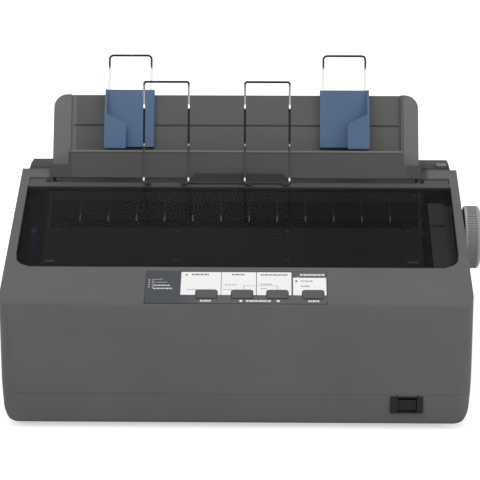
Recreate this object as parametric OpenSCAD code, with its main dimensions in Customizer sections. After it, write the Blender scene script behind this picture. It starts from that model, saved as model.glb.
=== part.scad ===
// Desktop dot matrix printer, narrow carriage, with a wide smoked cover and a
// raised sheet guide. Millimetres. x runs to the right, y to the back from the
// front face and z up from the desk.

/* [Case] */
// Width of the case without the knob
body_w = 348; // [340:1:360]
// Depth of the case
body_d = 275; // [272:1:290]
// Height of the edge where the front face meets the deck
crease_z = 97.5; // [95:0.5:101]
// Slope of the deck in degrees
deck_angle = 16; // [15:0.5:17]
// Thickness of the case walls
wall = 2.6; // [2.2:0.1:3]
// Height of the joint between the lower and the upper case
split_z = 29; // [28:0.5:31]
// Radius of the bow of the front face
front_bow_r = 215; // [180:5:300]
// Radius of the front corners seen from above
front_corner_r = 18; // [12:1:22]
// Where the side rims of the deck end
rim_end_y = 182; // [180:1:184]
// How much the sides draw in at the floor
side_tuck = 4; // [2:0.5:6]
// Rounding between the sides and the floor
side_edge_r = 15; // [8:1:18]
// Height of the rubber feet
foot_h = 3.5; // [3:0.5:5]

/* [Printer cover] */
// Width of the smoked cover
cover_w = 330; // [326:1:332]
// Front edge of the smoked cover
cover_front_y = 52; // [50:1:56]
// Thickness of the smoked cover
cover_t = 2.4; // [2:0.1:3]
// Radius of the cover's front corners
cover_corner_r = 10.5; // [6:0.5:14]
// How far the cover opens, degrees
cover_open = 110; // [90:1:111]

/* [Control panel] */
// Width of the control panel
panel_w = 134; // [128:1:140]
// Depth of the control panel along the deck
panel_d = 41; // [39:0.5:42]
// Thickness of the control panel
panel_t = 1.4; // [1.2:0.1:2]
// Width of one button
button_w = 15.2; // [13:0.1:16]
// Travel of a button
button_travel = 1; // [0.6:0.1:1.2]

/* [Sheet guide] */
// Outer width of the sheet guide
guide_w = 293; // [290:0.5:293.4]
// Width of each side frame of the sheet guide
guide_frame_w = 14; // [10:0.5:16]
// Length of the sheet guide along its slope
guide_len = 59.4; // [56:0.5:66]
// Backward lean of the sheet guide, degrees
guide_lean = 30; // [28:1:32]
// Thickness of the sheet guide plate
guide_t = 2.4; // [2:0.1:3]
// Width of one edge guide
edge_guide_w = 39.5; // [34:0.5:44]
// Diameter of the paper support wires
wire_d = 1.8; // [1.4:0.1:2]

/* [Print mechanism] */
// Radius of the platen roller
platen_r = 13.5; // [12.5:0.1:14]
// Length of the platen roller
platen_len = 262; // [256:1:264]
// Radius of the platen shaft
shaft_r = 4; // [3.5:0.1:4.5]
// Radius of the platen knob
knob_r = 24.5; // [22:0.5:26]
// Number of grip ribs round the knob
knob_ribs = 72; // [48:1:80]
// How far the knob stands out of the case
knob_reach = 14; // [12:0.5:16]
// Radius of the carriage guide rod
rod_r = 4; // [3.5:0.1:4.5]
// Thickness of the steel side frames
plate_t = 2; // [1.6:0.1:2.4]
// Running gap between a shaft and its bore, on the radius
run_gap = 0.05; // [0.02:0.01:0.08]
// Gear module, millimetres of pitch diameter for each tooth
gear_m = 1; // [0.9:0.05:1]

/* [Hidden] */
$fn = 48;
eps = 0.01;
seat_gap = 0.3;

// ---- Places shared by several pieces ----
x_mid = knob_reach/2;                       // middle of the whole width, knob included
half_w = body_w/2;
crease_y = 4;
slope = tan(deck_angle);
function deck_z(y) = crease_z + slope*(y - crease_y);
top_z = deck_z(rim_end_y) + 0.6;            // highest line of the case
bow_mid_z = 50.5;
tuck_r = (bow_mid_z - foot_h)*(bow_mid_z - foot_h)/(2*side_tuck) + side_tuck/2;
edge_r = 5;                                 // rounding along the foot of the front and the back

mx = -3.2;                                  // middle of the paper path
guide_x0 = mx - guide_w/2;
guide_x1 = mx + guide_w/2;
well_gap = 0.6;
well_wall = 2.4;
well_x0 = guide_x0 - well_gap;              // the well behind the cover, in which the guide folds
well_x1 = guide_x1 + well_gap;
well_y0 = 170;

// Deck opening and cover
open_w = cover_w + 1.2;
open_y0 = cover_front_y - 0.6;
hinge_y = 152;
hinge_z = deck_z(hinge_y) - 3.4;
hinge_pin_r = 2;
cover_rear_y = 155.4;
rail_y0 = cover_rear_y + 2.4;                // clear of the cover's rear edge as it swings
rail_y1 = 163.5;
rail_t = 3;

// Front paper supports: legs at these places, two legs each
support_w = 35.2;
support_x = [-57.4, 22.1];
support_y = 159.5;
support_z = deck_z(support_y) + 1.3;
support_len = 79.9;
support_lean = 22;

// Panel of the sheet guide cover
front_panel_y = 172;
front_panel_len = 20.6;
front_panel_t = 2.4;

// Sheet guide pivot
guide_y = 196;
guide_z = 146.5;
guide_pin_r = 2.5;
guide_fold = 68;
rail_pos = 34;                              // rail of the edge guides, along the guide
edge_x = [-88.5, 84];                       // middles of the edge guides
edge_len = 47.6;
edge_pos = 15;                              // their lower end, along the guide
edge_lip_w = 17.4;
edge_h = 11;
edge_wall_len = 26.6;                       // how far up their outer walls keep their full height
edge_plate_t = 4.4;
guide_wire_w = 33.8;

// Platen and gear train
platen_y = 140;
platen_z = 106.4;
frame_gap = 12;
frame_x0 = mx - platen_len/2 - frame_gap;   // inner faces of the side frames
frame_x1 = mx + platen_len/2 + frame_gap;
platen_teeth = 40;
idler_teeth = 28;
reduction_teeth = 42;
reduction_pinion_teeth = 14;
pinion_teeth = 14;
gear_w = 6;
gear_x = well_x1 + well_wall + 1.2;            // gears run outside the well wall
train_angle = 1.5;
reduction_angle = -62;
pinion_angle = -100;
function pitch_r(teeth) = gear_m*teeth/2;
function step_from(p, a, d) = [p[0] + d*cos(a), p[1] + d*sin(a)];
platen_c = [platen_y, platen_z];
idler_front_c = step_from(platen_c, train_angle, pitch_r(platen_teeth) + pitch_r(idler_teeth));
idler_rear_c = step_from(idler_front_c, train_angle, 2*pitch_r(idler_teeth));
tractor_c = step_from(idler_rear_c, train_angle, pitch_r(platen_teeth) + pitch_r(idler_teeth));
reduction_c = step_from(platen_c, reduction_angle,
    pitch_r(platen_teeth) + pitch_r(reduction_pinion_teeth));
pinion_c = step_from(reduction_c, pinion_angle, pitch_r(reduction_teeth) + pitch_r(pinion_teeth));

// The tooth phase that puts a gear in mesh with its driver at direction a
function mesh_phase(a, n1, p1, n2) =
    let (f = (a - p1)/(360/n1), part = f - floor(f)) a + 180 - (0.5 - part)*360/n2;
idler_front_phase = mesh_phase(train_angle, platen_teeth, 0, idler_teeth);
idler_rear_phase = mesh_phase(train_angle, idler_teeth, idler_front_phase, idler_teeth);
tractor_phase = mesh_phase(train_angle, idler_teeth, idler_rear_phase, platen_teeth);
reduction_phase = mesh_phase(reduction_angle, platen_teeth, 0, reduction_pinion_teeth);
pinion_phase = mesh_phase(pinion_angle, reduction_teeth, reduction_phase, pinion_teeth);

// Pinch rollers
pinch_r = 5;
pinch_angle = -75;
pinch_c = step_from(platen_c, pinch_angle, platen_r + pinch_r + seat_gap);

// Carriage and head
rod_y = 98;
rod_z = 66;
carriage_w = 46;
carriage_top = rod_z + 19;
head_w = 30;
head_front_y = 99;
head_tip_y = platen_y - platen_r - 2;
head_z = platen_z;
belt_z = 52;
belt_h = 5;
pulley_r = 8;
pulley_shaft_r = 1.5;
belt_y = 104;                               // the run of the belt that pulls the carriage
pulley_y = belt_y - pulley_r - 0.6;
pulley_x = [mx - 122, mx + 122];
rail_z = 66;
rail_bar_y = 76;

// Tractors
square_w = 6;
sprocket_r = 11;
tractor_w = 20;
tractor_x = [mx - 112, mx + 112];
tractor_rod_c = [tractor_c[0] - 20, tractor_c[1] - 4];
tractor_rod_r = 3;
flap_z = tractor_c[1] + sprocket_r + 6.5;

// Base and electronics
floor_z = foot_h + wall;
base_z = 10;
base_t = 3;

// ---- Helpers ----
function arc(cx, cy, r, a0, a1, n) =
    [for (i = [0:n]) let (a = a0 + (a1 - a0)*i/n) [cx + r*cos(a), cy + r*sin(a)]];

// Points that round the corner p1 between p0 and p2
function bend(p0, p1, p2) = [for (k = [1:3]) let (u = k/4) (1 - u)*(1 - u)*p0 + 2*u*(1 - u)*p1 + u*u*p2];

// A shape drawn in (y, z), drawn out along x
module along_x(x0, len) {
    translate([x0, 0, 0]) rotate([90, 0, 90]) linear_extrude(len) children();
}
// A shape drawn in (x, z), drawn out along y
module along_y(y0, len) {
    translate([0, y0 + len, 0]) rotate([90, 0, 0]) linear_extrude(len) children();
}
// A round bar along x
module bar_x(x0, len, c, r) {
    translate([x0, c[0], c[1]]) rotate([0, 90, 0]) cylinder(h = len, r = r);
}
// Stands children on the deck at y, their y along the slope and z square to it
module on_deck(y) {
    translate([0, y, deck_z(y)]) rotate([deck_angle, 0, 0]) children();
}
// Stands children on the sheet guide, their y out of its face and z up its slope
module on_guide() {
    translate([0, guide_y, guide_z]) rotate([-guide_lean, 0, 0]) children();
}
module rounded_rect(x0, y0, w, d, r) {
    translate([x0 + r, y0]) square([w - 2*r, d]);
    translate([x0, y0 + r]) square([w, d - 2*r]);
    for (x = [x0 + r, x0 + w - r], y = [y0 + r, y0 + d - r]) translate([x, y]) circle(r);
}
module placed() {
    translate([-x_mid, -body_d/2, 0]) children();
}

// A gear with straight-flanked teeth, drawn in (y, z) round the origin
module gear_outline(teeth, phase) {
    r = pitch_r(teeth);
    root = r - 1.2*gear_m;
    tip = r + 0.85*gear_m;
    pitch = 360/teeth;
    polygon([for (i = [0:teeth - 1]) let (a = phase + i*pitch)
        each [for (k = [[root, -0.36], [r, -0.215], [tip, -0.10], [tip, 0.10], [r, 0.215], [root, 0.36]])
            [k[0]*cos(a + k[1]*pitch), k[0]*sin(a + k[1]*pitch)]]]);
}
module gear_at(c, teeth, phase, x0, w, bore, web = 0) {
    difference() {
        translate([0, c[0], c[1]]) along_x(x0, w) gear_outline(teeth, phase);
        bar_x(x0 - 1, w + 2, c, bore);
        if (web > 0) difference() {
            bar_x(x0 + w - web, web + 1, c, pitch_r(teeth) - 3*gear_m);
            bar_x(x0 - 1, w + 3, c, bore + 3);
        }
    }
}

// ---- Case ----
// Side outline of the main body, drawn in by t, in (y, z)
module side_outline(t) {
    lean = t/cos(deck_angle);
    bow_x = front_bow_r;
    a = asin((bow_mid_z - foot_h - t - edge_r)/front_bow_r);
    b = asin((deck_z(crease_y) - bow_mid_z - 3)/front_bow_r);
    back = body_d - t;
    front = arc(bow_x, bow_mid_z, front_bow_r - t, 180 + a, 180 - b, 10);
    brow_y = crease_y + 4 + t*0.6;
    brow = [brow_y, deck_z(brow_y) - lean];
    polygon(concat(front,
        bend(front[10], [front[10][0], deck_z(front[10][0]) - lean], brow),
        [brow, [rim_end_y - t, deck_z(rim_end_y - t) - lean],
         [rim_end_y + 2 - t, deck_z(rim_end_y) - 5 - t],
         [214, 122 - t], [back - 3, 112 - t], [back, 109 - t]],
        arc(back - edge_r, foot_h + t + edge_r, edge_r, 0, -90, 4),
        arc(bow_x - (front_bow_r - t)*cos(a) + edge_r, foot_h + t + edge_r, edge_r, -90, -165, 4)));
}
// Side outline of the narrower shoulders beside the well, drawn in by t
module shoulder_outline(t) {
    back = body_d - t;
    polygon([[rim_end_y - 20, 60], [rim_end_y - 20, deck_z(rim_end_y - 20) - t - 4],
        [rim_end_y - 6, deck_z(rim_end_y) - 3 - t], [rim_end_y + 1, top_z - t],
        [rim_end_y + 4, top_z - t], [224, top_z - 4.3 - t], [229, top_z - 6.2 - t],
        [back - 4, 120 - t], [back, 116 - t], [back, 60]]);
}
// Front outline, drawn in by t, in (x, z), with the sides tucked in at the floor
module front_outline(t, w, top) {
    h = w/2 - t;
    r = side_edge_r - t;
    c = asin((bow_mid_z - foot_h - side_edge_r)/tuck_r);
    low = h - tuck_r*(1 - cos(c));
    right = concat(arc(low - r, foot_h + side_edge_r, r, -90, -c, 9),
        arc(h - tuck_r, bow_mid_z, tuck_r, -c*0.9, 0, 6),
        [[h, 95], [h - 1.7, top - t - 3], [h - 2.6, top - t - 1], [h - 4.6, top - t]]);
    polygon(concat(right, [for (i = [len(right) - 1:-1:0]) [-right[i][0], right[i][1]]]));
}
module plan_outline(t, w) {
    r = front_corner_r - t;
    x = w/2 - t;
    translate([-x + r, t]) square([2*(x - r), body_d - 2*t]);
    translate([-x, t + r]) square([2*x, body_d - 2*t - r - 8]);
    for (s = [-1, 1]) {
        translate([s*(x - r), t + r]) circle(r, $fn = 64);
        translate([s*(x - 8), body_d - t - 8]) circle(8);
    }
    translate([-x + 8, t + r]) square([2*(x - 8), body_d - 2*t - r]);
}
module main_block(t) {
    intersection() {
        along_x(-half_w, body_w) side_outline(t);
        along_y(-1, body_d + 2) front_outline(t, body_w, top_z + 8);
        linear_extrude(200) plan_outline(t, body_w);
    }
}
shoulder_w = body_w - 9;
module shoulder_block(t) {
    intersection() {
        along_x(-half_w, body_w) shoulder_outline(t);
        along_y(-1, body_d + 2) front_outline(t, shoulder_w, top_z + 1);
        linear_extrude(200) plan_outline(t, shoulder_w);
    }
}
module case_block(t) {
    main_block(t);
    shoulder_block(t);
}
module case_shell() {
    difference() {
        case_block(0);
        case_block(wall);
    }
}
module half_space(z0, z1) {
    translate([-half_w - 5, -5, z0]) cube([body_w + 10, body_d + 10, z1 - z0]);
}

// Places of the four pillars that the case screws run through
pillar_xy = [for (x = [17 - half_w, half_w - 17], y = [34, body_d - 31]) [x, y]];
pillar_r = 4.5;
screw_r = 1.5;
screw_head_r = 3;
screw_seat_z = foot_h + 2.4;                // the screw heads are sunk in the floor
foot_xy = [for (x = [27 - half_w, half_w - 27], y = [28, body_d - 23]) [x, y]];
foot_r = 8;

switch_c = [half_w - 48.3, 21.1];
switch_w = 23;
switch_h = 13.3;
switch_y = 1;                               // front of the switch frame
switch_flange_t = 2.2;
inlet_c = [46 - half_w, 42];
inlet_w = 27.6;
inlet_h = 20.4;
parallel_c = [88, 44];
usb_c = [28, 44];

module lower_case() {
    color("dimgray") {
        difference() {
            intersection() {
                case_shell();
                half_space(0, split_z);
            }
            // window of the power switch
            translate([switch_c[0] - switch_w/2, -1, switch_c[1] - switch_h/2 + 0.6])
                cube([switch_w, 20, switch_h - 1.2]);
            translate([switch_c[0] - switch_w/2 - 0.6 - eps, -1, switch_c[1] - switch_h/2 - eps])
                cube([switch_w + 1.2 + 2*eps, 1 + switch_y + switch_flange_t, switch_h + 2*eps]);
            for (p = pillar_xy) translate([p[0], p[1], 0]) {
                cylinder(h = 60, r = screw_r + 0.2);
                cylinder(h = screw_seat_z, r = screw_head_r + 0.3);
            }
            // cooling slots under the power supply
            for (i = [0:7]) translate([24 - half_w + i*9, 180, 0]) cube([4, 44, 9]);
        }
        for (p = pillar_xy) translate([p[0], p[1], floor_z - eps]) difference() {
            cylinder(h = split_z - floor_z - 4, r = pillar_r);
            translate([0, 0, -1]) cylinder(h = 60, r = screw_r + 0.2);
        }
        // standoffs of the base frame
        for (x = base_x, y = base_y) translate([x, y, floor_z - eps])
            cylinder(h = base_z - floor_z + eps, r = 5);
    }
}

skirt_h = 13;
shelf_x0 = gear_x - 4;
shelf_x1 = cover_w/2 - 5;
shelf_y0 = cover_front_y + 1;
shelf_len = 101;
shelf_tie_len = 88;                         // shorter, so that the hinge arm of the cover stays clear
shelf_drop = 5.6;                           // below the deck
shelf_t = 1.6;
module upper_case() {
    color("dimgray") {
        difference() {
            union() {
                intersection() {
                    case_shell();
                    half_space(split_z, 200);
                }
                // skirts beside and in front of the cover
                intersection() {
                    difference() {
                        skirt_block(2.6);
                        skirt_block(0);
                    }
                    case_block(wall/2);
                }
                // side walls of the well
                intersection() {
                    for (x = [well_x0 - well_wall, well_x1]) translate([x, well_y0, 84])
                        cube([well_wall, body_d - wall - well_y0, 100]);
                    case_block(wall/2);
                }
                // shelf that covers the gear train beside the frame
                on_deck(shelf_y0) difference() {
                    translate([shelf_x0, 0, -shelf_drop - shelf_t])
                        cube([shelf_x1 - shelf_x0, shelf_len, shelf_t]);
                    translate([shelf_x0 + 2, 39, -shelf_drop - shelf_t - 1]) cube([shelf_x1 - shelf_x0 - 4, 12, shelf_t + 2]);
                }
                on_deck(shelf_y0) {
                    translate([shelf_x1 - 1.5, 0, -shelf_drop - shelf_t - 1.6]) cube([1.5, shelf_tie_len, shelf_t + 1.6]);
                    translate([shelf_x1 - 1.5, 0, -shelf_drop - shelf_t - 1.6])
                        cube([open_w/2 + 1.3 - shelf_x1 + 1.5, shelf_tie_len, 1.6]);
                }
                // boss in which the release lever turns
                bar_x(lever_x + lever_w + 1, 6.5, release_c, release_pin_r + 3);
                // bosses that the case screws bite into
                for (p = pillar_xy) translate([p[0], p[1], split_z - 4]) cylinder(h = 22, r = pillar_r);
                for (p = pillar_xy) translate([p[0] > 0 ? p[0] : -half_w + wall/2, p[1] - 1, split_z])
                    cube([half_w - wall/2 - abs(p[0]), 2, 18]);
            }
            // deck opening for the cover and the exit rail
            skirt_block(0, true);
            // well between the shoulders
            translate([well_x0, well_y0, 60]) cube([well_x1 - well_x0, body_d - wall - well_y0, 140]);
            // paper entry at the rear
            translate([mx - 131, body_d - wall - 1, 98]) cube([262, wall + 2, 40]);
            for (p = pillar_xy) translate([p[0], p[1], split_z - 5]) cylinder(h = 20, r = screw_r + run_gap);
            // pocket and window of the control panel
            on_deck(6) translate([-panel_w/2 - 0.2, -0.2, -panel_t]) cube([panel_w + 0.4, panel_d + 0.4, 9]);
            on_deck(6) translate([-panel_w/2 + 1.2, 2.5, -9]) cube([panel_w - 2.4, panel_d - 4, 9]);
            // bores of the cover's hinge pins
            bar_x(-cover_w/2 - 6, cover_w + 12, [hinge_y, hinge_z], hinge_pin_r + run_gap);
            // bores of the sheet guide's pins
            bar_x(well_x0 - 5, well_x1 - well_x0 + 10, [guide_y, guide_z - 8], guide_pin_r + run_gap);
            // hole of the platen shaft
            bar_x(half_w - 8, 12, platen_c, shaft_r + 1.5);
            // slot of the release lever
            translate([lever_x - 1, lever_y - 5.5, lever_z - 24]) cube([lever_w + 2, 17, 40]);
            bar_x(lever_x + lever_w, release_pin_x1 - lever_x - lever_w + 0.6, release_c, release_pin_r + run_gap);
            // holes for the axles of the gears
            for (c = [idler_front_c, idler_rear_c, tractor_c]) bar_x(well_x1 - 1, well_wall + 2, c, spacer_r + 0.8);
            // rear sockets
            translate([inlet_c[0] - inlet_w/2 - 0.3, body_d - 8, inlet_c[1] - inlet_h/2 - 0.3])
                cube([inlet_w + 0.6, 12, inlet_h + 0.6]);
            translate([parallel_c[0] - 32, body_d - 8, parallel_c[1] - 7]) cube([64, 12, 14]);
            translate([usb_c[0] - 6.5, body_d - 8, usb_c[1] - 6]) cube([13, 12, 12]);
            // cooling slots in the left side and at the rear
            for (i = [0:9]) translate([-half_w - 2, 172 + i*8, 44]) cube([wall + 6, 3.4, 26]);
            for (i = [0:11]) translate([-60 + i*7, body_d - 8, 58]) cube([3.2, 12, 24]);
        }
    }
}
// The space inside the deck opening, widened by t; through = cut to above the deck
module skirt_block(t, through = false) {
    y1 = well_y0;
    x = open_w/2 + t;
    y0 = open_y0 - t;
    r = cover_corner_r + 0.6 + t;
    z0 = through ? 60 : -skirt_h;
    rear = through ? 0 : 4;
    if (through) {
        translate([0, 0, 60]) linear_extrude(140) deck_opening(x, y0, y1, r);
    } else intersection() {
        linear_extrude(200) deck_opening(x, y0, y1 + rear + t, r);
        on_deck(100) translate([-200, -120, -skirt_h]) cube([400, 240, skirt_h - 0.6]);
    }
}
module deck_opening(x, y0, y1, r) {
    translate([-x + r, y0]) square([2*(x - r), y1 - y0]);
    translate([-x, y0 + r]) square([2*x, y1 - y0 - r]);
    for (s = [-1, 1]) translate([s*(x - r), y0 + r]) circle(r);
}

// Fixed rail behind the cover: carries the pins of the front paper supports
knuckle_w = 3.4;
knuckle_in = support_w/2 - knuckle_w/2 - 1.9;   // knuckles stand just inside the legs
function knuckle_x(i) = [support_x[i] - knuckle_in, support_x[i] + knuckle_in];
module exit_rail() {
    color([0.18, 0.18, 0.19]) difference() {
        union() {
            along_x(-open_w/2, open_w)
                polygon([[rail_y0, deck_z(rail_y0) - 0.4], [rail_y1, deck_z(rail_y1) - 0.4],
                    [rail_y1, deck_z(rail_y1) - 0.4 - rail_t - 4], [rail_y1 - 2, deck_z(rail_y1) - 0.4 - rail_t - 4],
                    [rail_y1 - 2, deck_z(rail_y1) - 0.6 - rail_t],
                    [rail_y0, deck_z(rail_y0) - 0.4 - rail_t]]);
            // raised flap in the middle that guides the paper out
            translate([0, rail_y1 - 1, deck_z(rail_y1 - 1) - 0.6]) rotate([55, 0, 0]) linear_extrude(1.6)
                polygon([[-40, 0], [40, 0], [34.5, 8], [-34.5, 8]]);
            // knuckles of the paper supports
            for (i = [0, 1], x = knuckle_x(i)) along_x(x - knuckle_w/2, knuckle_w) {
                translate([support_y, support_z]) circle(wire_d/2 + 1.1);
                polygon([[support_y - 1, support_z - 3.4], [support_y - 1.2, support_z],
                    [support_y + 1.6, support_z], [support_y + 3, support_z - 3.2]]);
            }
        }
        for (i = [0, 1], x = knuckle_x(i))
            bar_x(x - knuckle_w, 2*knuckle_w, [support_y, support_z], wire_d/2 + run_gap);
    }
}

// ---- Control panel ----
panel_y = 6;                                // where its front edge lies on the deck
button_x = [for (d = [88.8, 62.6, 36.7, 10.5]) panel_w/2 - d];
button_y = 6.2;                             // front edge of the buttons, on the panel
button_d = 9.2;
lamp_x = [-panel_w/2 + 2.7, -panel_w/2 + 5.4];
lamp_y = [20.5, 23.4, 26.4, 29.3];
function lamp_places() = concat([for (x = lamp_x, y = lamp_y) [x, y]],
    [[-panel_w/2 + 28.5, 38.5], [panel_w/2 - 21.5, 33.5]]);
module button_outline(g) {
    w = button_w/2 + g;
    r = 3.5;
    translate([-w, -g]) square([2*w, button_d + 2*g - r]);
    translate([-w + r, 0]) square([2*w - 2*r, button_d + g]);
    for (s = [-1, 1]) translate([s*(w - r), button_d + g - r]) circle(r);
}
module control_panel() {
    color([0.25, 0.27, 0.3]) on_deck(panel_y) difference() {
        translate([0, 0, -panel_t]) linear_extrude(panel_t) rounded_rect(-panel_w/2, 0, panel_w, panel_d, 1.5);
        for (x = button_x) translate([x, button_y, -panel_t - 1]) linear_extrude(panel_t + 2)
            button_outline(0.35);
        for (p = lamp_places()) translate([p[0], p[1], -panel_t - 1]) cylinder(h = panel_t + 2, r = 0.8);
    }
}
module button(i) {
    color([0.25, 0.27, 0.3]) on_deck(panel_y) translate([button_x[i], button_y, 0]) {
        translate([0, 0, -panel_t - 0.2]) linear_extrude(panel_t + 0.8) button_outline(0);
        translate([-button_w/2 + 1, 1, -panel_t - 3.4]) cube([button_w - 2, button_d - 4, 3.2]);
    }
}
module font_button() button(0);
module feed_button() button(1);
module load_button() button(2);
module pause_button() button(3);
module indicator_lamps() {
    color([0.75, 0.8, 0.7]) on_deck(panel_y) {
        for (p = lamp_places()) translate([p[0], p[1], -panel_t - 2]) cylinder(h = panel_t + 2.1, r = 0.75);
        translate([lamp_x[0] - 2, lamp_y[0] - 3, -panel_t - 3.6]) cube([34, 22, 1.6]);
    }
}

// ---- Power switch ----
module power_switch_frame() {
    color("black") difference() {
        union() {
            translate([switch_c[0] - switch_w/2 - 0.6, switch_y, switch_c[1] - switch_h/2])
                cube([switch_w + 1.2, switch_flange_t, switch_h]);
            translate([switch_c[0] - switch_w/2 + 0.2, switch_y + switch_flange_t - eps, switch_c[1] - switch_h/2 + 0.8])
                cube([switch_w - 0.4, 16, switch_h - 1.6]);
        }
        translate([rocker_x, -5, switch_c[1] - switch_h/2 + 1.2]) cube([rocker_w, 18, switch_h - 2.4]);
        bar_x(rocker_x - rocker_pin_len, rocker_w + 2*rocker_pin_len, [rocker_y, switch_c[1]], rocker_pin_r + run_gap);
    }
    // cradle that the rocker tips on
    color("black") translate([rocker_x + 1, rocker_y + 1.9, switch_c[1] - 2]) cube([rocker_w - 2, 4.2, 4]);
}
rocker_x = switch_c[0] - 6.4;
rocker_w = 14;
rocker_y = switch_y + 6.2;
rocker_tilt = 6;
rocker_h = switch_h - 4.5;
rocker_pin_r = 1;
rocker_pin_len = 1.6;
module power_rocker() {
    color([0.1, 0.1, 0.1]) bar_x(rocker_x + 0.3 - rocker_pin_len, rocker_w + 2*rocker_pin_len - 0.6,
        [rocker_y, switch_c[1]], rocker_pin_r);
    color([0.1, 0.1, 0.1]) translate([0, rocker_y, switch_c[1]]) rotate([rocker_tilt, 0, 0])
        along_x(rocker_x + 0.4, rocker_w - 0.8)
            polygon([[-5.2, -rocker_h/2], [-4.5, 0], [-5.2, rocker_h/2], [0.6, rocker_h/2 - 1], [1.5, 0], [0.6, 1 - rocker_h/2]]);
}

// ---- Smoked cover ----
module printer_cover() {
    x = cover_w/2;
    flat_y1 = cover_rear_y;
    color([0.12, 0.11, 0.12]) {
        intersection() {
            linear_extrude(200) deck_opening(x, cover_front_y, flat_y1, cover_corner_r);
            on_deck(100) translate([-200, -120, -cover_t]) cube([400, 240, cover_t]);
        }
        // lip under the front and side edges
        intersection() {
            difference() {
                linear_extrude(200) deck_opening(x - 0.6, cover_front_y + 0.6, hinge_y - 12, cover_corner_r - 0.6);
                linear_extrude(200) deck_opening(x - 2.4, cover_front_y + 2.4, hinge_y, cover_corner_r - 2.4);
            }
            on_deck(100) translate([-200, -120, -cover_t - 4]) cube([400, 240, 4 + eps]);
        }
        // hinge arms and pins
        for (s = [-1, 1]) {
            along_x(s > 0 ? x - 4 : -x, 4) {
                translate([hinge_y, hinge_z]) circle(3.2);
                polygon([[hinge_y - 10, deck_z(hinge_y - 10) - cover_t + eps], [hinge_y - 2, hinge_z - 2.6],
                    [hinge_y + 3, hinge_z], [hinge_y + 2.2, deck_z(hinge_y + 2.2) - cover_t + eps]]);
            }
            bar_x(s > 0 ? x - 1 : -x - 3, 4, [hinge_y, hinge_z], hinge_pin_r);
        }
    }
}

// ---- Front paper supports ----
function unit(v) = v/norm(v);
// Turns v by the rotation that takes direction a to direction b
function carry(v, a, b) = let (k = cross(a, b), c = a*b)
    v*c + cross(k, v) + k*(k*v)/(1 + c);
// Points round the corner p1 between p0 and p2, at radius r
function corner(p0, p1, p2, r, n = 4) =
    let (u = unit(p0 - p1), v = unit(p2 - p1), half = acos(u*v)/2,
        c = p1 + unit(u + v)*r/sin(half), turn = 180 - 2*half,
        a = p1 + u*r/tan(half) - c, b = p1 + v*r/tan(half) - c)
    [for (k = [0:n]) c + (a*sin(turn*(1 - k/n)) + b*sin(turn*k/n))/sin(turn)];
// A path through pts whose inner corners are rounded
function rounded_path(pts, r) = concat([pts[0]],
    [for (i = [1:len(pts) - 2]) each corner(pts[i - 1], pts[i], pts[i + 1], r)], [pts[len(pts) - 1]]);
wire_sides = 12;
// One unbroken round wire along the path p
module wire(p) {
    n = len(p);
    t = [for (i = [0:n - 1]) unit(p[min(i + 1, n - 1)] - p[max(i - 1, 0)])];
    start = unit(cross(t[0], [0.3, 1, 0.2]));
    side = [for (i = 0, s = start; i < n; i = i + 1, s = i < n ? carry(s, t[i - 1], t[i]) : s) s];
    polyhedron(
        points = [for (i = [0:n - 1], k = [0:wire_sides - 1]) let (a = k*360/wire_sides)
            p[i] + wire_d/2*(side[i]*cos(a) + cross(t[i], side[i])*sin(a))],
        faces = concat(
            [for (i = [0:n - 2], k = [0:wire_sides - 1]) let (m = (k + 1) % wire_sides)
                each [[i*wire_sides + k, (i + 1)*wire_sides + m, i*wire_sides + m],
                      [i*wire_sides + k, (i + 1)*wire_sides + k, (i + 1)*wire_sides + m]]],
            [[for (k = [0:wire_sides - 1]) k],
             [for (k = [wire_sides - 1:-1:0]) (n - 1)*wire_sides + k]]),
        convexity = 8);
}
// Corners of a loop of width w and height h, with a slight bend forward at the height bend
function loop_corners(w, h, bend, forward) = [[-w/2, 0, 0], [-w/2, 0, bend], [-w/2, -forward, h],
    [w/2, -forward, h], [w/2, 0, bend], [w/2, 0, 0]];
wire_bend_r = 3;
module paper_support(i) {
    legs = loop_corners(support_w, support_len, support_len*0.7, 4);
    foot = knuckle_in - knuckle_w/2 - 0.6;
    color("silver") translate([support_x[i], support_y, support_z]) rotate([-support_lean, 0, 0])
        wire(rounded_path(concat([[-foot, 0, 0]], legs, [[foot, 0, 0]]), 1.6));
}
module paper_support_left() paper_support(0);
module paper_support_right() paper_support(1);

// ---- Sheet guide ----
module sheet_guide_cover() {
    color([0.3, 0.3, 0.3]) {
        lean = 28;
        difference() {
            union() {
                translate([0, front_panel_y, deck_z(front_panel_y) - 1]) rotate([-lean, 0, 0]) {
                    translate([well_x0, 0, -0.4]) cube([well_x1 - well_x0, front_panel_t, 10.6]);
                    translate([mx - guide_w/2 + guide_frame_w, 0, 0])
                        cube([guide_w - 2*guide_frame_w, front_panel_t, front_panel_len]);
                    // rolled lip
                    translate([mx - guide_w/2 + guide_frame_w, 1.1, front_panel_len]) rotate([0, 90, 0])
                        cylinder(h = guide_w - 2*guide_frame_w, r = 1.5);
                }
                // end cheeks that close the panel against the well
                for (x = [well_x0, well_x1 - 2.4]) along_x(x, 2.4)
                    polygon([[front_panel_y - 1.4, deck_z(front_panel_y) - 4], [front_panel_y + 3, deck_z(front_panel_y) + 3],
                        [front_panel_y + 12, deck_z(front_panel_y) + 3], [front_panel_y + 12, deck_z(front_panel_y) - 8]]);
            }
            // notch above the flap of the exit rail
            translate([0, front_panel_y - 5, deck_z(front_panel_y) - 8]) rotate([90 - lean, 0, 0])
                translate([0, 0, -12]) linear_extrude(20)
                polygon([[-41, -2], [41, -2], [34, 8], [-34, 8]]);
        }
    }
}
guide_corner_r = 11;
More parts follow.
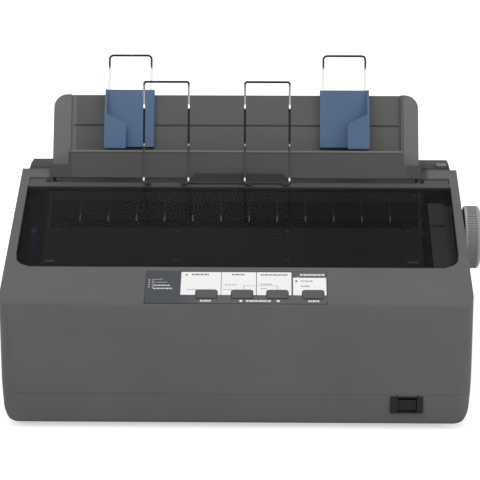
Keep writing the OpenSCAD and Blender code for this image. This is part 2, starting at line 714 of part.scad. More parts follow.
module sheet_guide() {
    color([0.38, 0.38, 0.38]) {
        on_guide() difference() {
            union() {
                translate([guide_x0, 0, 0]) rotate([90, 0, 0]) translate([0, 0, -guide_t])
                    linear_extrude(guide_t) guide_outline();
                // raised side frames
                for (s = [0, 1]) translate([s > 0 ? guide_x1 - guide_frame_w : guide_x0, 0, 0]) rotate([90, 0, 0])
                    linear_extrude(2.2) frame_outline(s);
                // ribs across the back
                for (z = [8, 30, 52]) translate([guide_x0 + 4, guide_t - eps, z]) cube([guide_w - 8, 2, 1.6]);
                for (x = [-120:40:120]) translate([mx + x, guide_t - eps, 4]) cube([1.6, 2, guide_len - 10]);
            }
            // groove in which the edge guides run
            translate([guide_x0 + guide_frame_w + 2, -1, rail_pos - 0.8]) cube([guide_w - 2*guide_frame_w - 4, 2.4, 1.6]);
        }
        // ears and pins
        for (s = [-1, 1]) {
            x = s < 0 ? guide_x0 : guide_x1 - 3;
            along_x(x, 3) {
                translate([guide_y, guide_z - 8]) circle(4.5);
                polygon([[guide_y - 4.5, guide_z - 8], [guide_y - 1, guide_z + 3], [guide_y + 4.6, guide_z + 3], [guide_y + 4.5, guide_z - 8]]);
            }
            bar_x(s < 0 ? guide_x0 - 3.4 : guide_x1 - 1, 4.4, [guide_y, guide_z - 8], guide_pin_r);
        }
    }
}
module guide_outline() {
    w = guide_w;
    r = guide_corner_r;
    square([w, guide_len - r]);
    translate([r, 0]) square([w - 2*r, guide_len]);
    for (x = [r, w - r]) translate([x, guide_len - r]) circle(r);
}
module frame_outline(s) {
    r = guide_corner_r;
    w = guide_frame_w;
    square([w, guide_len - r]);
    intersection() {
        square([w, guide_len]);
        union() {
            translate([s > 0 ? 0 : r, 0]) square([w - r, guide_len]);
            translate([s > 0 ? w - r : r, guide_len - r]) circle(r);
        }
    }
}
// An edge guide, its outer side at -x, drawn for the left one
edge_wall = 1.8;
edge_lip_drop = -3.2;                       // how far the lip reaches below the plate
module edge_guide_body() {
    w = edge_guide_w;
    y0 = -seat_gap - edge_wall;
    lip_y = y0 - edge_h;
    difference() {
        translate([-w/2, y0 + edge_wall - edge_plate_t, 0]) cube([w, edge_plate_t, edge_len]);
        // bores of the wire
        for (s = [-1, 1]) translate([s*guide_wire_w/2, y0 - 1.3, -1]) cylinder(h = edge_len + 4, r = wire_d/2 + run_gap);
    }
    // outer wall
    translate([-w/2, 0, 0]) along_x(0, edge_wall)
        polygon([[lip_y, edge_lip_drop], [lip_y + 6, 0], [y0, 0], [y0, edge_len], [y0 - 4, edge_len], [lip_y, edge_wall_len]]);
    // front lip with a slanting top edge
    translate([-w/2, lip_y, 0]) rotate([90, 0, 0]) translate([0, 0, -edge_wall]) linear_extrude(edge_wall)
        polygon([[0, edge_lip_drop], [edge_lip_w, edge_lip_drop], [edge_lip_w, edge_wall_len - 10.5],
            [edge_lip_w - 1.6, edge_wall_len - 8.4], [0, edge_wall_len]]);
    // runner in the groove
    translate([-w/2 + 4, y0 + 1, rail_pos - edge_pos - 0.5]) cube([w - 8, 2.2, 1]);
}
module edge_guide(i) {
    color([0.33, 0.41, 0.54]) on_guide() translate([edge_x[i], 0, edge_pos])
        mirror([i, 0, 0]) edge_guide_body();
}
module edge_guide_left() edge_guide(0);
module edge_guide_right() edge_guide(1);
guide_wire_len = 62;
guide_wire_z = edge_pos + 14;
module guide_wire(i) {
    color("silver") on_guide() translate([edge_x[i], -seat_gap - 3.1, guide_wire_z])
        wire(rounded_path(loop_corners(guide_wire_w, guide_wire_len, guide_wire_len - 11, 2), wire_bend_r));
}
module guide_wire_left() guide_wire(0);
module guide_wire_right() guide_wire(1);

// ---- Chassis ----
base_x = [frame_x0 + 2.2, mx, frame_x1 - 2.2];
base_y = [44, 150, 228];
frame_y0 = 58;
frame_y1 = 250;
module base_frame() {
    color([0.2, 0.2, 0.21]) difference() {
        union() {
            translate([frame_x0 - 6, 36, base_z]) cube([frame_x1 - frame_x0 + 12, 74, base_t]);
            translate([frame_x0 - 6, 200, base_z]) cube([frame_x1 - frame_x0 + 12, 50, base_t]);
            for (x = [frame_x0 - 6, mx - 6, frame_x1 - 6]) translate([x, 36, base_z]) cube([12, 214, base_t]);
            for (y = [58, 70, 206, 240]) translate([frame_x0, y, base_z + base_t - eps]) cube([frame_x1 - frame_x0, 2, 5]);
        }
        for (x = base_x, y = base_y) translate([x, y, base_z - 1]) cylinder(h = 12, r = 1.6);
    }
    // rear paper guide on its two posts
    color([0.2, 0.2, 0.21]) {
        along_x(frame_x0 + seat_gap, frame_x1 - frame_x0 - 2*seat_gap)
            polygon([[172, 123], [173, 121.4], [195.6, 137.8], [194.6, 139.4]]);
        for (x = [frame_x0 + 2.6, frame_x1 - 4.6]) along_x(x, 2)      // clear of the axle ends
            polygon([[172.5, base_z + base_t - eps], [177.5, base_z + base_t - eps], [177.5, 125], [172.5, 122]]);
    }
    // post that carries the idler pulley
    color([0.2, 0.2, 0.21]) translate([pulley_x[1], pulley_y, 0]) difference() {
        translate([0, 0, base_z + base_t - eps]) cylinder(h = belt_z - 1.7 - base_z - base_t, r = 5);
        translate([0, 0, belt_z - 14]) cylinder(h = 20, r = pulley_shaft_r + run_gap);
    }
}
module frame_profile() {
    difference() {
        polygon([[frame_y0, base_z + base_t], [frame_y1, base_z + base_t], [frame_y1, 96],
            [tractor_c[0] + 12, tractor_c[1] + 10], [tractor_c[0] - 12, tractor_c[1] + 10], [206, 118], [178, 118],
            [160, 124], [126, 124], [112, 104], [84, 92], [frame_y0, 84]]);
        translate([72, 24]) square([50, 14]);
        translate([178, 30]) square([48, 44]);
    }
}
module side_frame(x0, left) {
    color([0.62, 0.63, 0.65]) difference() {
        along_x(x0, plate_t) frame_profile();
        for (b = [[platen_c, shaft_r], [[rod_y, rod_z], rod_r], [tractor_c, tractor_journal_r],
            [tractor_rod_c, tractor_rod_r], [pinch_c, 2]])
            bar_x(x0 - 1, plate_t + 2, b[0], b[1] + run_gap);
        if (!left) {
            for (c = [idler_front_c, idler_rear_c, reduction_c]) bar_x(x0 - 1, plate_t + 2, c, stub_r + run_gap);
            bar_x(x0 - 1, plate_t + 2, pinion_c, 6);
        } else bar_x(x0 - 1, plate_t + 2, [thick_y, thick_z], 2 + run_gap);
    }
}
stub_r = 2;
spacer_r = 4;
tractor_journal_r = 2.9;
module side_frame_left() side_frame(frame_x0 - plate_t, true);
module side_frame_right() side_frame(frame_x1, false);

// Ribbed unit over the platen that holds the paper down
unit_x0 = frame_x0 + 1;
unit_x1 = frame_x1 - 1;
rib_x = [for (i = [0:11]) unit_x0 + 22 + i*(unit_x1 - unit_x0 - 44)/11];
module tension_unit() {
    color([0.1, 0.1, 0.11]) {
        along_x(unit_x0, unit_x1 - unit_x0)
            polygon([[126, 124.2], [149, 131.3], [151.5, 131.3], [151.5, 127.4], [149, 126.6], [127, 121.4]]);
        for (x = concat([unit_x0], rib_x, [unit_x1 - 1.4])) along_x(x, 1.4)
            polygon([[118, 118], [120, 124], [132, 129.2], [149, 134], [150.5, 131], [150, 126], [127, 121.4], [121, 117.4]]);
        // end plates that sit against the side frames
        for (x = [frame_x0, frame_x1 - 1 - eps]) along_x(x, 1 + eps)
            polygon([[126, 112], [126, 124], [150, 131], [160, 131], [160, 122], [156, 112]]);
    }
}

// ---- Platen ----
module platen_roller() {
    color([0.13, 0.13, 0.13]) difference() {
        bar_x(mx - platen_len/2, platen_len, platen_c, platen_r);
        bar_x(mx - platen_len/2 - 1, platen_len + 2, platen_c, shaft_r);
    }
}
module platen_shaft() {
    color("silver") bar_x(frame_x0 - plate_t - 4, half_w + knob_reach - 3.6 - (frame_x0 - plate_t - 4), platen_c, shaft_r);
}
module platen_knob() {
    x1 = half_w + knob_reach;
    x0 = half_w + 1.6;
    rib = PI*knob_r/knob_ribs*0.52;
    color([0.36, 0.36, 0.36]) difference() {
        union() {
            translate([x0, platen_y, platen_z]) rotate([0, 90, 0]) rotate_extrude($fn = 96)
                polygon(concat([[0, 0], [knob_r - 0.9, 0], [knob_r - 0.3, 0.8], [knob_r - 0.3, 1.6], [knob_r - 0.9, 1.8],
                    [knob_r - 0.9, x1 - x0 - 3.4]],
                    arc(knob_r - 3, x1 - x0 - 3, 3, 0, 90, 5), [[knob_r - 6, x1 - x0], [knob_r - 7.5, x1 - x0 - 1.6], [0, x1 - x0 - 1.6]]));
            translate([0, platen_y, platen_z]) along_x(x0 + 1.7, x1 - x0 - 4.6) {
                circle(knob_r - 0.9);
                for (i = [0:knob_ribs - 1]) rotate(i*360/knob_ribs) translate([knob_r - 1.4, -rib/2]) square([1.4, rib]);
            }
        }
        bar_x(x0 - 1, x1 - x0 - 3 + 0.4, platen_c, shaft_r);
        // hollow back round the hub
        difference() {
            bar_x(x0 - 1, x1 - x0 - 3.4, platen_c, knob_r - 3);
            bar_x(x0 - 2, x1 - x0, platen_c, shaft_r + 3.5);
        }
    }
}
module platen_gear() {
    color([0.85, 0.84, 0.8]) gear_at(platen_c, platen_teeth, 0, gear_x, gear_w, shaft_r, 2);
}
module idler(c, phase) {
    color([0.85, 0.84, 0.8]) {
        gear_at(c, idler_teeth, phase, gear_x, gear_w, 1, 2);
        bar_x(frame_x1 - 2, gear_x + gear_w + 1 - (frame_x1 - 2), c, stub_r);
        bar_x(frame_x1 + plate_t + 0.3, gear_x - frame_x1 - plate_t - 0.3 + eps, c, spacer_r);
    }
}
module idler_gear_front() idler(idler_front_c, idler_front_phase);
module idler_gear_rear() idler(idler_rear_c, idler_rear_phase);
module reduction_gear() {
    color([0.85, 0.84, 0.8]) {
        gear_at(reduction_c, reduction_pinion_teeth, reduction_phase, gear_x, gear_w + 0.5, 1);
        gear_at(reduction_c, reduction_teeth, reduction_phase, gear_x + gear_w + 0.4, 4, 1, 1.4);
        bar_x(frame_x1 - 2, gear_x + gear_w + 5 - (frame_x1 - 2), reduction_c, stub_r);
        bar_x(frame_x1 + plate_t + 0.3, gear_x - frame_x1 - plate_t - 0.3 + eps, reduction_c, spacer_r);
    }
}
motor_r = 18;
module feed_motor() {
    color([0.35, 0.36, 0.38]) difference() {
        union() {
            bar_x(frame_x1 - 24, 24 - seat_gap, pinion_c, motor_r);
            bar_x(frame_x1 - seat_gap - eps, seat_gap + 0.6, pinion_c, 5.6);
            translate([frame_x1 - 2.3, pinion_c[0] - 24, pinion_c[1] - 5]) cube([2, 48, 10]);
        }
        bar_x(frame_x1 - 20, 30, pinion_c, 1.5 + run_gap);
    }
}
module motor_pinion() {
    color([0.8, 0.7, 0.4]) {
        gear_at(pinion_c, pinion_teeth, pinion_phase, gear_x + gear_w - 1, 6, 1);
        bar_x(frame_x1 - 18, gear_x + gear_w + 5 - (frame_x1 - 18), pinion_c, 1.5);
    }
}
module pinch_rollers() {
    color([0.16, 0.16, 0.16]) {
        for (x = [mx - 100, mx - 34, mx + 34, mx + 100]) bar_x(x - 12, 24, pinch_c, pinch_r);
        bar_x(frame_x0 - plate_t - 1, frame_x1 - frame_x0 + 2*plate_t + 2, pinch_c, 2);
    }
}

// ---- Carriage ----
module guide_rod() {
    color("silver") bar_x(frame_x0 - plate_t - 3, frame_x1 - frame_x0 + 2*plate_t + 6, [rod_y, rod_z], rod_r);
}
module carriage_rail() {
    color([0.6, 0.61, 0.63]) translate([frame_x0, rail_bar_y, rail_z - 5]) cube([frame_x1 - frame_x0, 2, 10]);
}
module carriage() {
    color([0.15, 0.15, 0.16]) difference() {
        union() {
            translate([mx - carriage_w/2, rod_y - 8, rod_z - 7]) cube([carriage_w, 20, carriage_top - rod_z + 7]);
            translate([mx - carriage_w/2, rail_bar_y - 4, rod_z + 7]) cube([carriage_w, 22, 5]);
            for (y = [rail_bar_y - 4, rail_bar_y + 2.4]) translate([mx - 14, y, rail_z]) cube([28, 3.6, 8]);
            // fork that grips the belt
            for (y = [belt_y - 3.4, belt_y + 1.2]) translate([mx - 9, y, belt_z]) cube([18, 2.2, 8]);
        }
        bar_x(mx - carriage_w, 2*carriage_w, [rod_y, rod_z], rod_r + run_gap);
        translate([mx - carriage_w, belt_y - 1.2, belt_z - 1]) cube([2*carriage_w, 2.4, belt_h + 1.6]);
    }
}
module print_head() {
    color([0.3, 0.3, 0.32]) {
        along_y(head_front_y, 17) rounded_rect(mx - head_w/2, carriage_top, head_w, head_z + 9 - carriage_top, 3);
        for (i = [0:4]) translate([mx - head_w/2 - 3, head_front_y + 1 + i*3.4, head_z - 19]) cube([head_w + 6, 1.6, 26]);
        along_x(mx - 6, 12) polygon([[head_front_y + 16, head_z - 12], [head_tip_y, head_z - 5], [head_tip_y, head_z + 5],
            [head_front_y + 16, head_z + 7]]);
    }
}
cartridge_x0 = frame_x0 + 2;
cartridge_x1 = frame_x1 - 2;
cartridge_y0 = 58;
cartridge_y1 = 96.5;
ribbon_arm_w = 16;
ribbon_y = head_tip_y + 0.5;
module ribbon_cartridge() {
    color([0.14, 0.14, 0.15]) {
        translate([0, 0, 87]) linear_extrude(15)
            rounded_rect(cartridge_x0, cartridge_y0, cartridge_x1 - cartridge_x0, cartridge_y1 - cartridge_y0, 5);
        // arms that hold the ribbon before the platen
        for (x = [cartridge_x0, cartridge_x1 - ribbon_arm_w]) translate([x, cartridge_y1 - 8, 92])
            cube([ribbon_arm_w, ribbon_y + 0.2 - cartridge_y1 + 8, 18]);
        // legs that sit against the side frames
        for (x = [frame_x0, frame_x1 - 8]) translate([x, 66, 84]) cube([8, 12, 12]);
        // winding knob
        translate([mx - 118, 74, 101]) cylinder(h = 6, r = 7);
    }
}
module ink_ribbon() {
    color([0.05, 0.05, 0.06]) translate([cartridge_x0 + ribbon_arm_w, ribbon_y - 0.2, platen_z - 6])
        cube([cartridge_x1 - cartridge_x0 - 2*ribbon_arm_w, 0.4, 12]);
}
module carriage_motor() {
    color([0.35, 0.36, 0.38]) {
        difference() {
            translate([pulley_x[0], pulley_y, base_z + base_t]) cylinder(h = belt_z - base_z - base_t - 2, r = 17);
            translate([pulley_x[0], pulley_y, base_z + base_t + 6]) cylinder(h = 60, r = pulley_shaft_r + run_gap);
        }
    }
}
module pulley(x, z0) {
    color([0.8, 0.7, 0.4]) translate([x, pulley_y, 0]) {
        translate([0, 0, belt_z - 1.4]) cylinder(h = 1.2, r = pulley_r + 1.5);
        translate([0, 0, belt_z - 0.3]) cylinder(h = belt_h + 0.6, r = pulley_r - 0.15);
        translate([0, 0, belt_z + belt_h + 0.2]) cylinder(h = 1.2, r = pulley_r + 1.5);
        translate([0, 0, z0]) cylinder(h = belt_z + belt_h + 1 - z0, r = pulley_shaft_r);
    }
}
module motor_pulley() pulley(pulley_x[0], base_z + base_t + 8);
module idler_pulley() pulley(pulley_x[1], belt_z - 13);
module timing_belt() {
    color([0.08, 0.08, 0.08]) translate([0, pulley_y, belt_z]) linear_extrude(belt_h) difference() {
        belt_outline(pulley_r + 1.1);
        belt_outline(pulley_r + 0.1);
    }
}
module belt_outline(r) {
    for (x = pulley_x) translate([x, 0]) circle(r);
    translate([pulley_x[0], -r]) square([pulley_x[1] - pulley_x[0], 2*r]);
}

// ---- Levers ----
lever_x = half_w - 17;
lever_w = 8;
lever_y = 191;
lever_z = top_z;
release_c = [lever_y, 118];
release_pin_r = 3;
release_pin_x1 = half_w - 4;
module paper_release_lever() {
    color([0.43, 0.43, 0.46]) {
        translate([lever_x, lever_y - 4, lever_z - 4]) cube([lever_w, 8, 5.5]);
        translate([lever_x + 2, lever_y - 2, release_c[1]]) cube([4, 4, lever_z - 4 - release_c[1] + eps]);
        bar_x(lever_x + 1, 6, release_c, 5);
        bar_x(lever_x + 7 - eps, release_pin_x1 - lever_x - 7, release_c, release_pin_r);
    }
}
thick_y = 112;
thick_z = 90;
thick_x = frame_x0 - plate_t - 11;
module thickness_lever() {
    color([0.15, 0.3, 0.65]) {
        along_x(thick_x, 4) {
            translate([thick_y, thick_z]) circle(5);
            polygon([[thick_y - 3, thick_z], [thick_y + 3, thick_z], [thick_y + 2, 121], [thick_y - 5, 119]]);
        }
        bar_x(thick_x + 4 - eps, frame_x0 + 1 - thick_x - 4 + eps, [thick_y, thick_z], 2);
    }
}

// ---- Tractors ----
module tractor_shaft() {
    l0 = frame_x0 - plate_t - 1;
    color("silver") {
        translate([frame_x0 + 3, tractor_c[0] - square_w/2, tractor_c[1] - square_w/2])
            cube([frame_x1 - frame_x0 - 6, square_w, square_w]);
        bar_x(l0, gear_x + gear_w - l0, tractor_c, tractor_journal_r);
    }
}
module tractor_rod() {
    color("silver") bar_x(frame_x0 - plate_t - 1, frame_x1 - frame_x0 + 2*plate_t + 2, tractor_rod_c, tractor_rod_r);
}
module tractor_gear() {
    color([0.85, 0.84, 0.8]) gear_at(tractor_c, platen_teeth, tractor_phase, gear_x, gear_w, tractor_journal_r, 2);
}
module tractor_outline() {
    translate(tractor_c) circle(9.6);
    translate(tractor_rod_c) circle(6.5);
    polygon([[tractor_rod_c[0] - 6.5, tractor_rod_c[1]], [tractor_rod_c[0] - 6.5, flap_z - 4],
        [tractor_c[0] + 12, flap_z - 4], [tractor_c[0] + 9.6, tractor_c[1]], [tractor_c[0], tractor_c[1] - 9.6],
        [tractor_rod_c[0], tractor_rod_c[1] - 6.5]]);
}
sprocket_w = 8;
hub_r = 6;
module tractor(i) {
    x = tractor_x[i];
    s = i == 0 ? -1 : 1;
    color([0.17, 0.17, 0.18]) difference() {
        union() {
            along_x(x - tractor_w/2, tractor_w) tractor_outline();
            along_x(s < 0 ? x - tractor_w/2 : x + tractor_w/2 - 4, 4)
                translate([tractor_rod_c[0] - 6.5, flap_z - 6]) square([tractor_c[0] + 18.5 - tractor_rod_c[0], 4.5]);
        }
        bar_x(x - tractor_w, 2*tractor_w, tractor_rod_c, tractor_rod_r + run_gap);
        bar_x(x - tractor_w, 2*tractor_w, tractor_c, hub_r + run_gap);
        bar_x(x - sprocket_w/2 - 0.4, sprocket_w + 0.8, tractor_c, sprocket_r + 4);
        translate([x - sprocket_w/2 - 0.4, tractor_c[0] - sprocket_r - 4, tractor_c[1]])
            cube([sprocket_w + 0.8, 40, 60]);
        // bore of the flap's hinge pin
        translate([x + s*(tractor_w/2 - 2), tractor_rod_c[0] - 8, flap_z - 3.6]) rotate([-90, 0, 0])
            cylinder(h = 60, r = 1 + run_gap);
    }
}
module tractor_left() tractor(0);
module tractor_right() tractor(1);
module sprocket(i) {
    x = tractor_x[i];
    color([0.75, 0.74, 0.7]) difference() {
        union() {
            bar_x(x - sprocket_w/2, sprocket_w, tractor_c, sprocket_r);
            bar_x(x - tractor_w/2 + 1, tractor_w - 2, tractor_c, hub_r);
            for (k = [0:9]) translate([x, tractor_c[0], tractor_c[1]]) rotate([k*36, 0, 0])
                translate([0, 0, sprocket_r - 1]) cylinder(h = 3, r = 1.9, $fn = 24);
        }
        translate([x - tractor_w, tractor_c[0] - square_w/2 - 0.1, tractor_c[1] - square_w/2 - 0.1])
            cube([2*tractor_w, square_w + 0.2, square_w + 0.2]);
    }
}
module sprocket_left() sprocket(0);
module sprocket_right() sprocket(1);
module tractor_cover(i) {
    x = tractor_x[i];
    s = i == 0 ? -1 : 1;
    y0 = tractor_rod_c[0] - 6.5;
    len = tractor_c[0] + 12 - y0;
    hx = x + s*(tractor_w/2 - 2);
    color([0.2, 0.2, 0.21]) {
        difference() {
            translate([x - tractor_w/2 - (s > 0 ? 0 : -5.4), y0, flap_z - 3.2]) cube([tractor_w - 5.4, len, 1.8]);
            translate([x - 3.2, tractor_c[0] - 10, flap_z - 6]) cube([6.4, 20, 9]);
        }
        // hinge pin and the arms that carry it
        translate([hx, y0 - 1.4, flap_z - 3.6]) rotate([-90, 0, 0]) cylinder(h = len + 4, r = 1);
        for (y = [y0 - 1.6, y0 + len + 0.8]) translate([min(hx, hx - s*6) - 0.8, y, flap_z - 4.6])
            cube([7.6, 1.2, 2.8]);
        for (y = [y0 - 1.6, y0 + len - 1.6]) translate([min(hx - s*5, hx - s*6.6) , y, flap_z - 3.2]) cube([1.6, 3.4, 1.4]);
    }
}
module tractor_cover_left() tractor_cover(0);
module tractor_cover_right() tractor_cover(1);

// ---- Electronics ----
board_z = 18;
module main_board() {
    color([0.1, 0.35, 0.2]) {
        translate([-40, 112, board_z]) cube([150, 84, 1.6]);
        for (p = [[-34, 118], [104, 118], [-34, 190], [104, 190]]) translate([p[0], p[1], floor_z])
            cylinder(h = board_z - floor_z + eps, r = 2.5);
        translate([0, 140, board_z + 1.6 - eps]) cube([28, 28, 2.4]);
        translate([50, 130, board_z + 1.6 - eps]) cube([34, 12, 3]);
        for (x = [44, 58, 72, 86]) translate([x, 172, board_z + 1.6 - eps]) cylinder(h = 14, r = 5);
    }
}
module power_supply() {
    color([0.7, 0.7, 0.68]) translate([frame_x0 + 10, 116, floor_z]) difference() {
        cube([74, 78, 46]);
        for (i = [0:6]) translate([6 + i*9.6, 8, 44]) cube([4, 60, 4]);
    }
}
module rear_sockets() {
    color([0.08, 0.08, 0.08]) {
        // mains inlet with three blades
        difference() {
            translate([inlet_c[0] - inlet_w/2, body_d - 24, inlet_c[1] - inlet_h/2]) cube([inlet_w, 24, inlet_h]);
            translate([inlet_c[0] - inlet_w/2 + 2, body_d - 18, inlet_c[1] - inlet_h/2 + 2]) cube([inlet_w - 4, 20, inlet_h - 4]);
        }
        for (p = [[-7, 2], [0, -2], [7, 2]]) translate([inlet_c[0] + p[0] - 1, body_d - 19, inlet_c[1] + p[1] - 2.5])
            cube([2, 14, 5]);
        // parallel socket
        difference() {
            translate([parallel_c[0] - 31.7, body_d - 14, parallel_c[1] - 6.7]) cube([63.4, 14, 13.4]);
            translate([parallel_c[0] - 27, body_d - 10, parallel_c[1] - 4.2]) cube([54, 12, 8.4]);
        }
        translate([parallel_c[0] - 24, body_d - 11, parallel_c[1] - 1]) cube([48, 4, 2]);
        // square socket of the data cable
        difference() {
            translate([usb_c[0] - 6.2, body_d - 14, usb_c[1] - 5.7]) cube([12.4, 14, 11.4]);
            translate([usb_c[0] - 4.4, body_d - 10, usb_c[1] - 4]) cube([8.8, 12, 8]);
        }
    }
}
module rubber_feet() {
    color([0.1, 0.1, 0.1]) for (p = foot_xy) translate([p[0], p[1], 0]) cylinder(h = foot_h, r = foot_r);
}
module case_screws() {
    color("silver") for (p = pillar_xy) translate([p[0], p[1], 0]) {
        translate([0, 0, screw_seat_z - 1.6]) cylinder(h = 1.6, r = screw_head_r);
        translate([0, 0, screw_seat_z - eps]) cylinder(h = split_z + 10 - screw_seat_z, r = screw_r);
    }
}

placed() lower_case();
placed() upper_case();
placed() exit_rail();
placed() control_panel();
placed() font_button();
placed() feed_button();
placed() load_button();
placed() pause_button();
placed() indicator_lamps();
placed() power_switch_frame();
placed() power_rocker();
placed() printer_cover();
placed() sheet_guide_cover();
placed() paper_support_left();
placed() paper_support_right();
placed() sheet_guide();
placed() edge_guide_left();
placed() edge_guide_right();
placed() guide_wire_left();
placed() guide_wire_right();
placed() base_frame();
placed() side_frame_left();
placed() side_frame_right();
placed() tension_unit();
placed() platen_roller();
placed() platen_shaft();
placed() platen_knob();
placed() platen_gear();
placed() idler_gear_front();
placed() idler_gear_rear();
placed() reduction_gear();
placed() feed_motor();
placed() motor_pinion();
placed() pinch_rollers();
placed() guide_rod();
placed() carriage_rail();
placed() carriage();
placed() print_head();
placed() ribbon_cartridge();
placed() ink_ribbon();
placed() carriage_motor();
placed() motor_pulley();
placed() idler_pulley();
placed() timing_belt();
placed() paper_release_lever();
placed() thickness_lever();
placed() tractor_shaft();
placed() tractor_rod();
placed() tractor_gear();
placed() tractor_left();
placed() tractor_right();
placed() sprocket_left();
placed() sprocket_right();
placed() tractor_cover_left();
placed() tractor_cover_right();
placed() main_board();
placed() power_supply();
placed() rear_sockets();
placed() rubber_feet();
placed() case_screws();
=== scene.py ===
import math
import bpy
import bmesh
from mathutils import Matrix, Vector


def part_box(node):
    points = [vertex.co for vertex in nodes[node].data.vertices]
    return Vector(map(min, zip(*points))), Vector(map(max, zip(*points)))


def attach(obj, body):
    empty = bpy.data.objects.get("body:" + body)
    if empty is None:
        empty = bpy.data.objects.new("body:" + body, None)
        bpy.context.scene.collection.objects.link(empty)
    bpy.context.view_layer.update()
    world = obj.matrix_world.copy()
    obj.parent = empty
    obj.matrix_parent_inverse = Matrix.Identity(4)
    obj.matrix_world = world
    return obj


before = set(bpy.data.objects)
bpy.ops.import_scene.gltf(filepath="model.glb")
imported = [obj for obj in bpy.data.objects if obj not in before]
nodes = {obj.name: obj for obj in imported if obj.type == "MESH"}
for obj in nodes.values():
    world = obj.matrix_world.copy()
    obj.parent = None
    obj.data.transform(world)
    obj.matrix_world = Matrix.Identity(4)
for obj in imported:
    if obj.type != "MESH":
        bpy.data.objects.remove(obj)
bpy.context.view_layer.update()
print("frame loaded,", len(nodes), "nodes")

# sizes shared by several pieces, in millimetres as the printer stands:
# x to the right, y to the back from the front face, z up from the desk
middle = {"x": 7.0, "y": 137.5}
deck = {"slope": math.radians(16), "edgeY": 4.0, "edgeZ": 97.5, "panelY": 6.0}
nearZero = 1e-6  # metres


def spot(x, y, z):
    # printer millimetres to scene metres
    return Vector(((x - middle["x"]) / 1000, (y - middle["y"]) / 1000, z / 1000))


def deckHeight(y):
    return deck["edgeZ"] + math.tan(deck["slope"]) * (y - deck["edgeY"])


def alongDeck(start, end):
    # length on the slope between two depths
    return (end - start) / math.cos(deck["slope"])


def onDeck(y):
    # flat drawing (x, along the slope, out of it) to its place on the deck, starting at y
    turn = Matrix.Rotation(deck["slope"], 4, "X")
    return Matrix.Translation(spot(0, y, deckHeight(y))) @ turn


# small tools
def selectNothing():
    for other in list(bpy.context.selected_objects):
        other.select_set(False)


def pick(thing):
    selectNothing()
    thing.select_set(True)
    bpy.context.view_layer.objects.active = thing


def settle(thing, where=None):
    # puts the object's place into its mesh
    pick(thing)
    bpy.ops.object.transform_apply(location=True, rotation=True, scale=True)
    if where is not None:
        thing.matrix_world = where
        bpy.context.view_layer.update()
        bpy.ops.object.transform_apply(location=True, rotation=True, scale=True)
    return thing


def addBlock(name, low, high):
    # a block between two corners, in metres
    selectNothing()
    centre = (Vector(low) + Vector(high)) / 2
    bpy.ops.mesh.primitive_cube_add(size=1, location=centre)
    thing = bpy.context.object
    thing.name = name
    thing.scale = Vector(high) - Vector(low)
    return settle(thing)


def flatBar(name, x0, x1, v0, v1, base, thickness):
    # a block in a flat drawing, in millimetres
    low = (x0 / 1000, v0 / 1000, base / 1000)
    high = (x1 / 1000, v1 / 1000, (base + thickness) / 1000)
    return addBlock(name, low, high)


def runModifier(thing, kind, **values):
    pick(thing)
    step = thing.modifiers.new(kind.lower(), kind)
    for key, value in values.items():
        setattr(step, key, value)
    bpy.ops.object.modifier_apply(modifier=step.name)


def cutAway(thing, cutter):
    runModifier(thing, "BOOLEAN", object=cutter, operation="DIFFERENCE", solver="EXACT")
    bpy.data.objects.remove(cutter)


def roundUprights(thing, radius, segments, above=None):
    # bevels the upright edges of a flat plate, or only those beyond a line, in millimetres
    pick(thing)
    bpy.ops.object.mode_set(mode="EDIT")
    bpy.ops.mesh.select_mode(type="EDGE")
    bpy.ops.mesh.select_all(action="DESELECT")
    mesh = bmesh.from_edit_mesh(thing.data)
    for edge in mesh.edges:
        a, b = edge.verts[0].co, edge.verts[1].co
        upright = (a - b).to_2d().length < nearZero
        if upright and (above is None or a.y > above / 1000):
            edge.select = True
    mesh.select_flush_mode()
    bmesh.update_edit_mesh(thing.data)
    bpy.ops.mesh.bevel(offset=radius / 1000, segments=segments, affect="EDGES")
    bpy.ops.object.mode_set(mode="OBJECT")


def joinAll(name, parts):
    selectNothing()
    for part in parts:
        part.select_set(True)
    bpy.context.view_layer.objects.active = parts[0]
    if len(parts) > 1:
        bpy.ops.object.join()
    thing = bpy.context.object
    thing.name = name
    return thing


def giveFinish(thing, material):
    thing.data.materials.clear()
    thing.data.materials.append(material)


# node tools; a source is a socket or a plain value
def feed(tree, socket, source):
    if isinstance(source, bpy.types.NodeSocket):
        tree.links.new(source, socket)
    else:
        socket.default_value = source


def combine(tree, operation, *sources):
    node = tree.nodes.new("ShaderNodeMath")
    node.operation = operation
    for socket, source in zip(node.inputs, sources):
        feed(tree, socket, source)
    return node.outputs[0]


def mapRange(tree, source, start, end, low=0.0, high=1.0, curve="LINEAR"):
    ranged = tree.nodes.new("ShaderNodeMapRange")
    ranged.interpolation_type = curve
    ranged.inputs["From Min"].default_value = start
    ranged.inputs["From Max"].default_value = end
    ranged.inputs["To Min"].default_value = low
    ranged.inputs["To Max"].default_value = high
    tree.links.new(source, ranged.inputs["Value"])
    return ranged.outputs["Result"]


# places of the colour sockets on the mix node
mixSockets = {"amount": 0, "first": 6, "second": 7, "result": 2}


def blendColours(tree, kind, **sources):
    blend = tree.nodes.new("ShaderNodeMix")
    blend.data_type = "RGBA"
    blend.blend_type = kind
    for name, source in sources.items():
        feed(tree, blend.inputs[mixSockets[name]], source)
    return blend.outputs[mixSockets["result"]]


def splitPlace(tree, output="Object"):
    place = tree.nodes.new("ShaderNodeTexCoord")
    parts = tree.nodes.new("ShaderNodeSeparateXYZ")
    tree.links.new(place.outputs[output], parts.inputs[0])
    return parts.outputs


def startMaterial(name):
    material = bpy.data.materials.new(name)
    material.use_nodes = True
    tree = material.node_tree
    return material, tree, tree.nodes["Principled BSDF"]


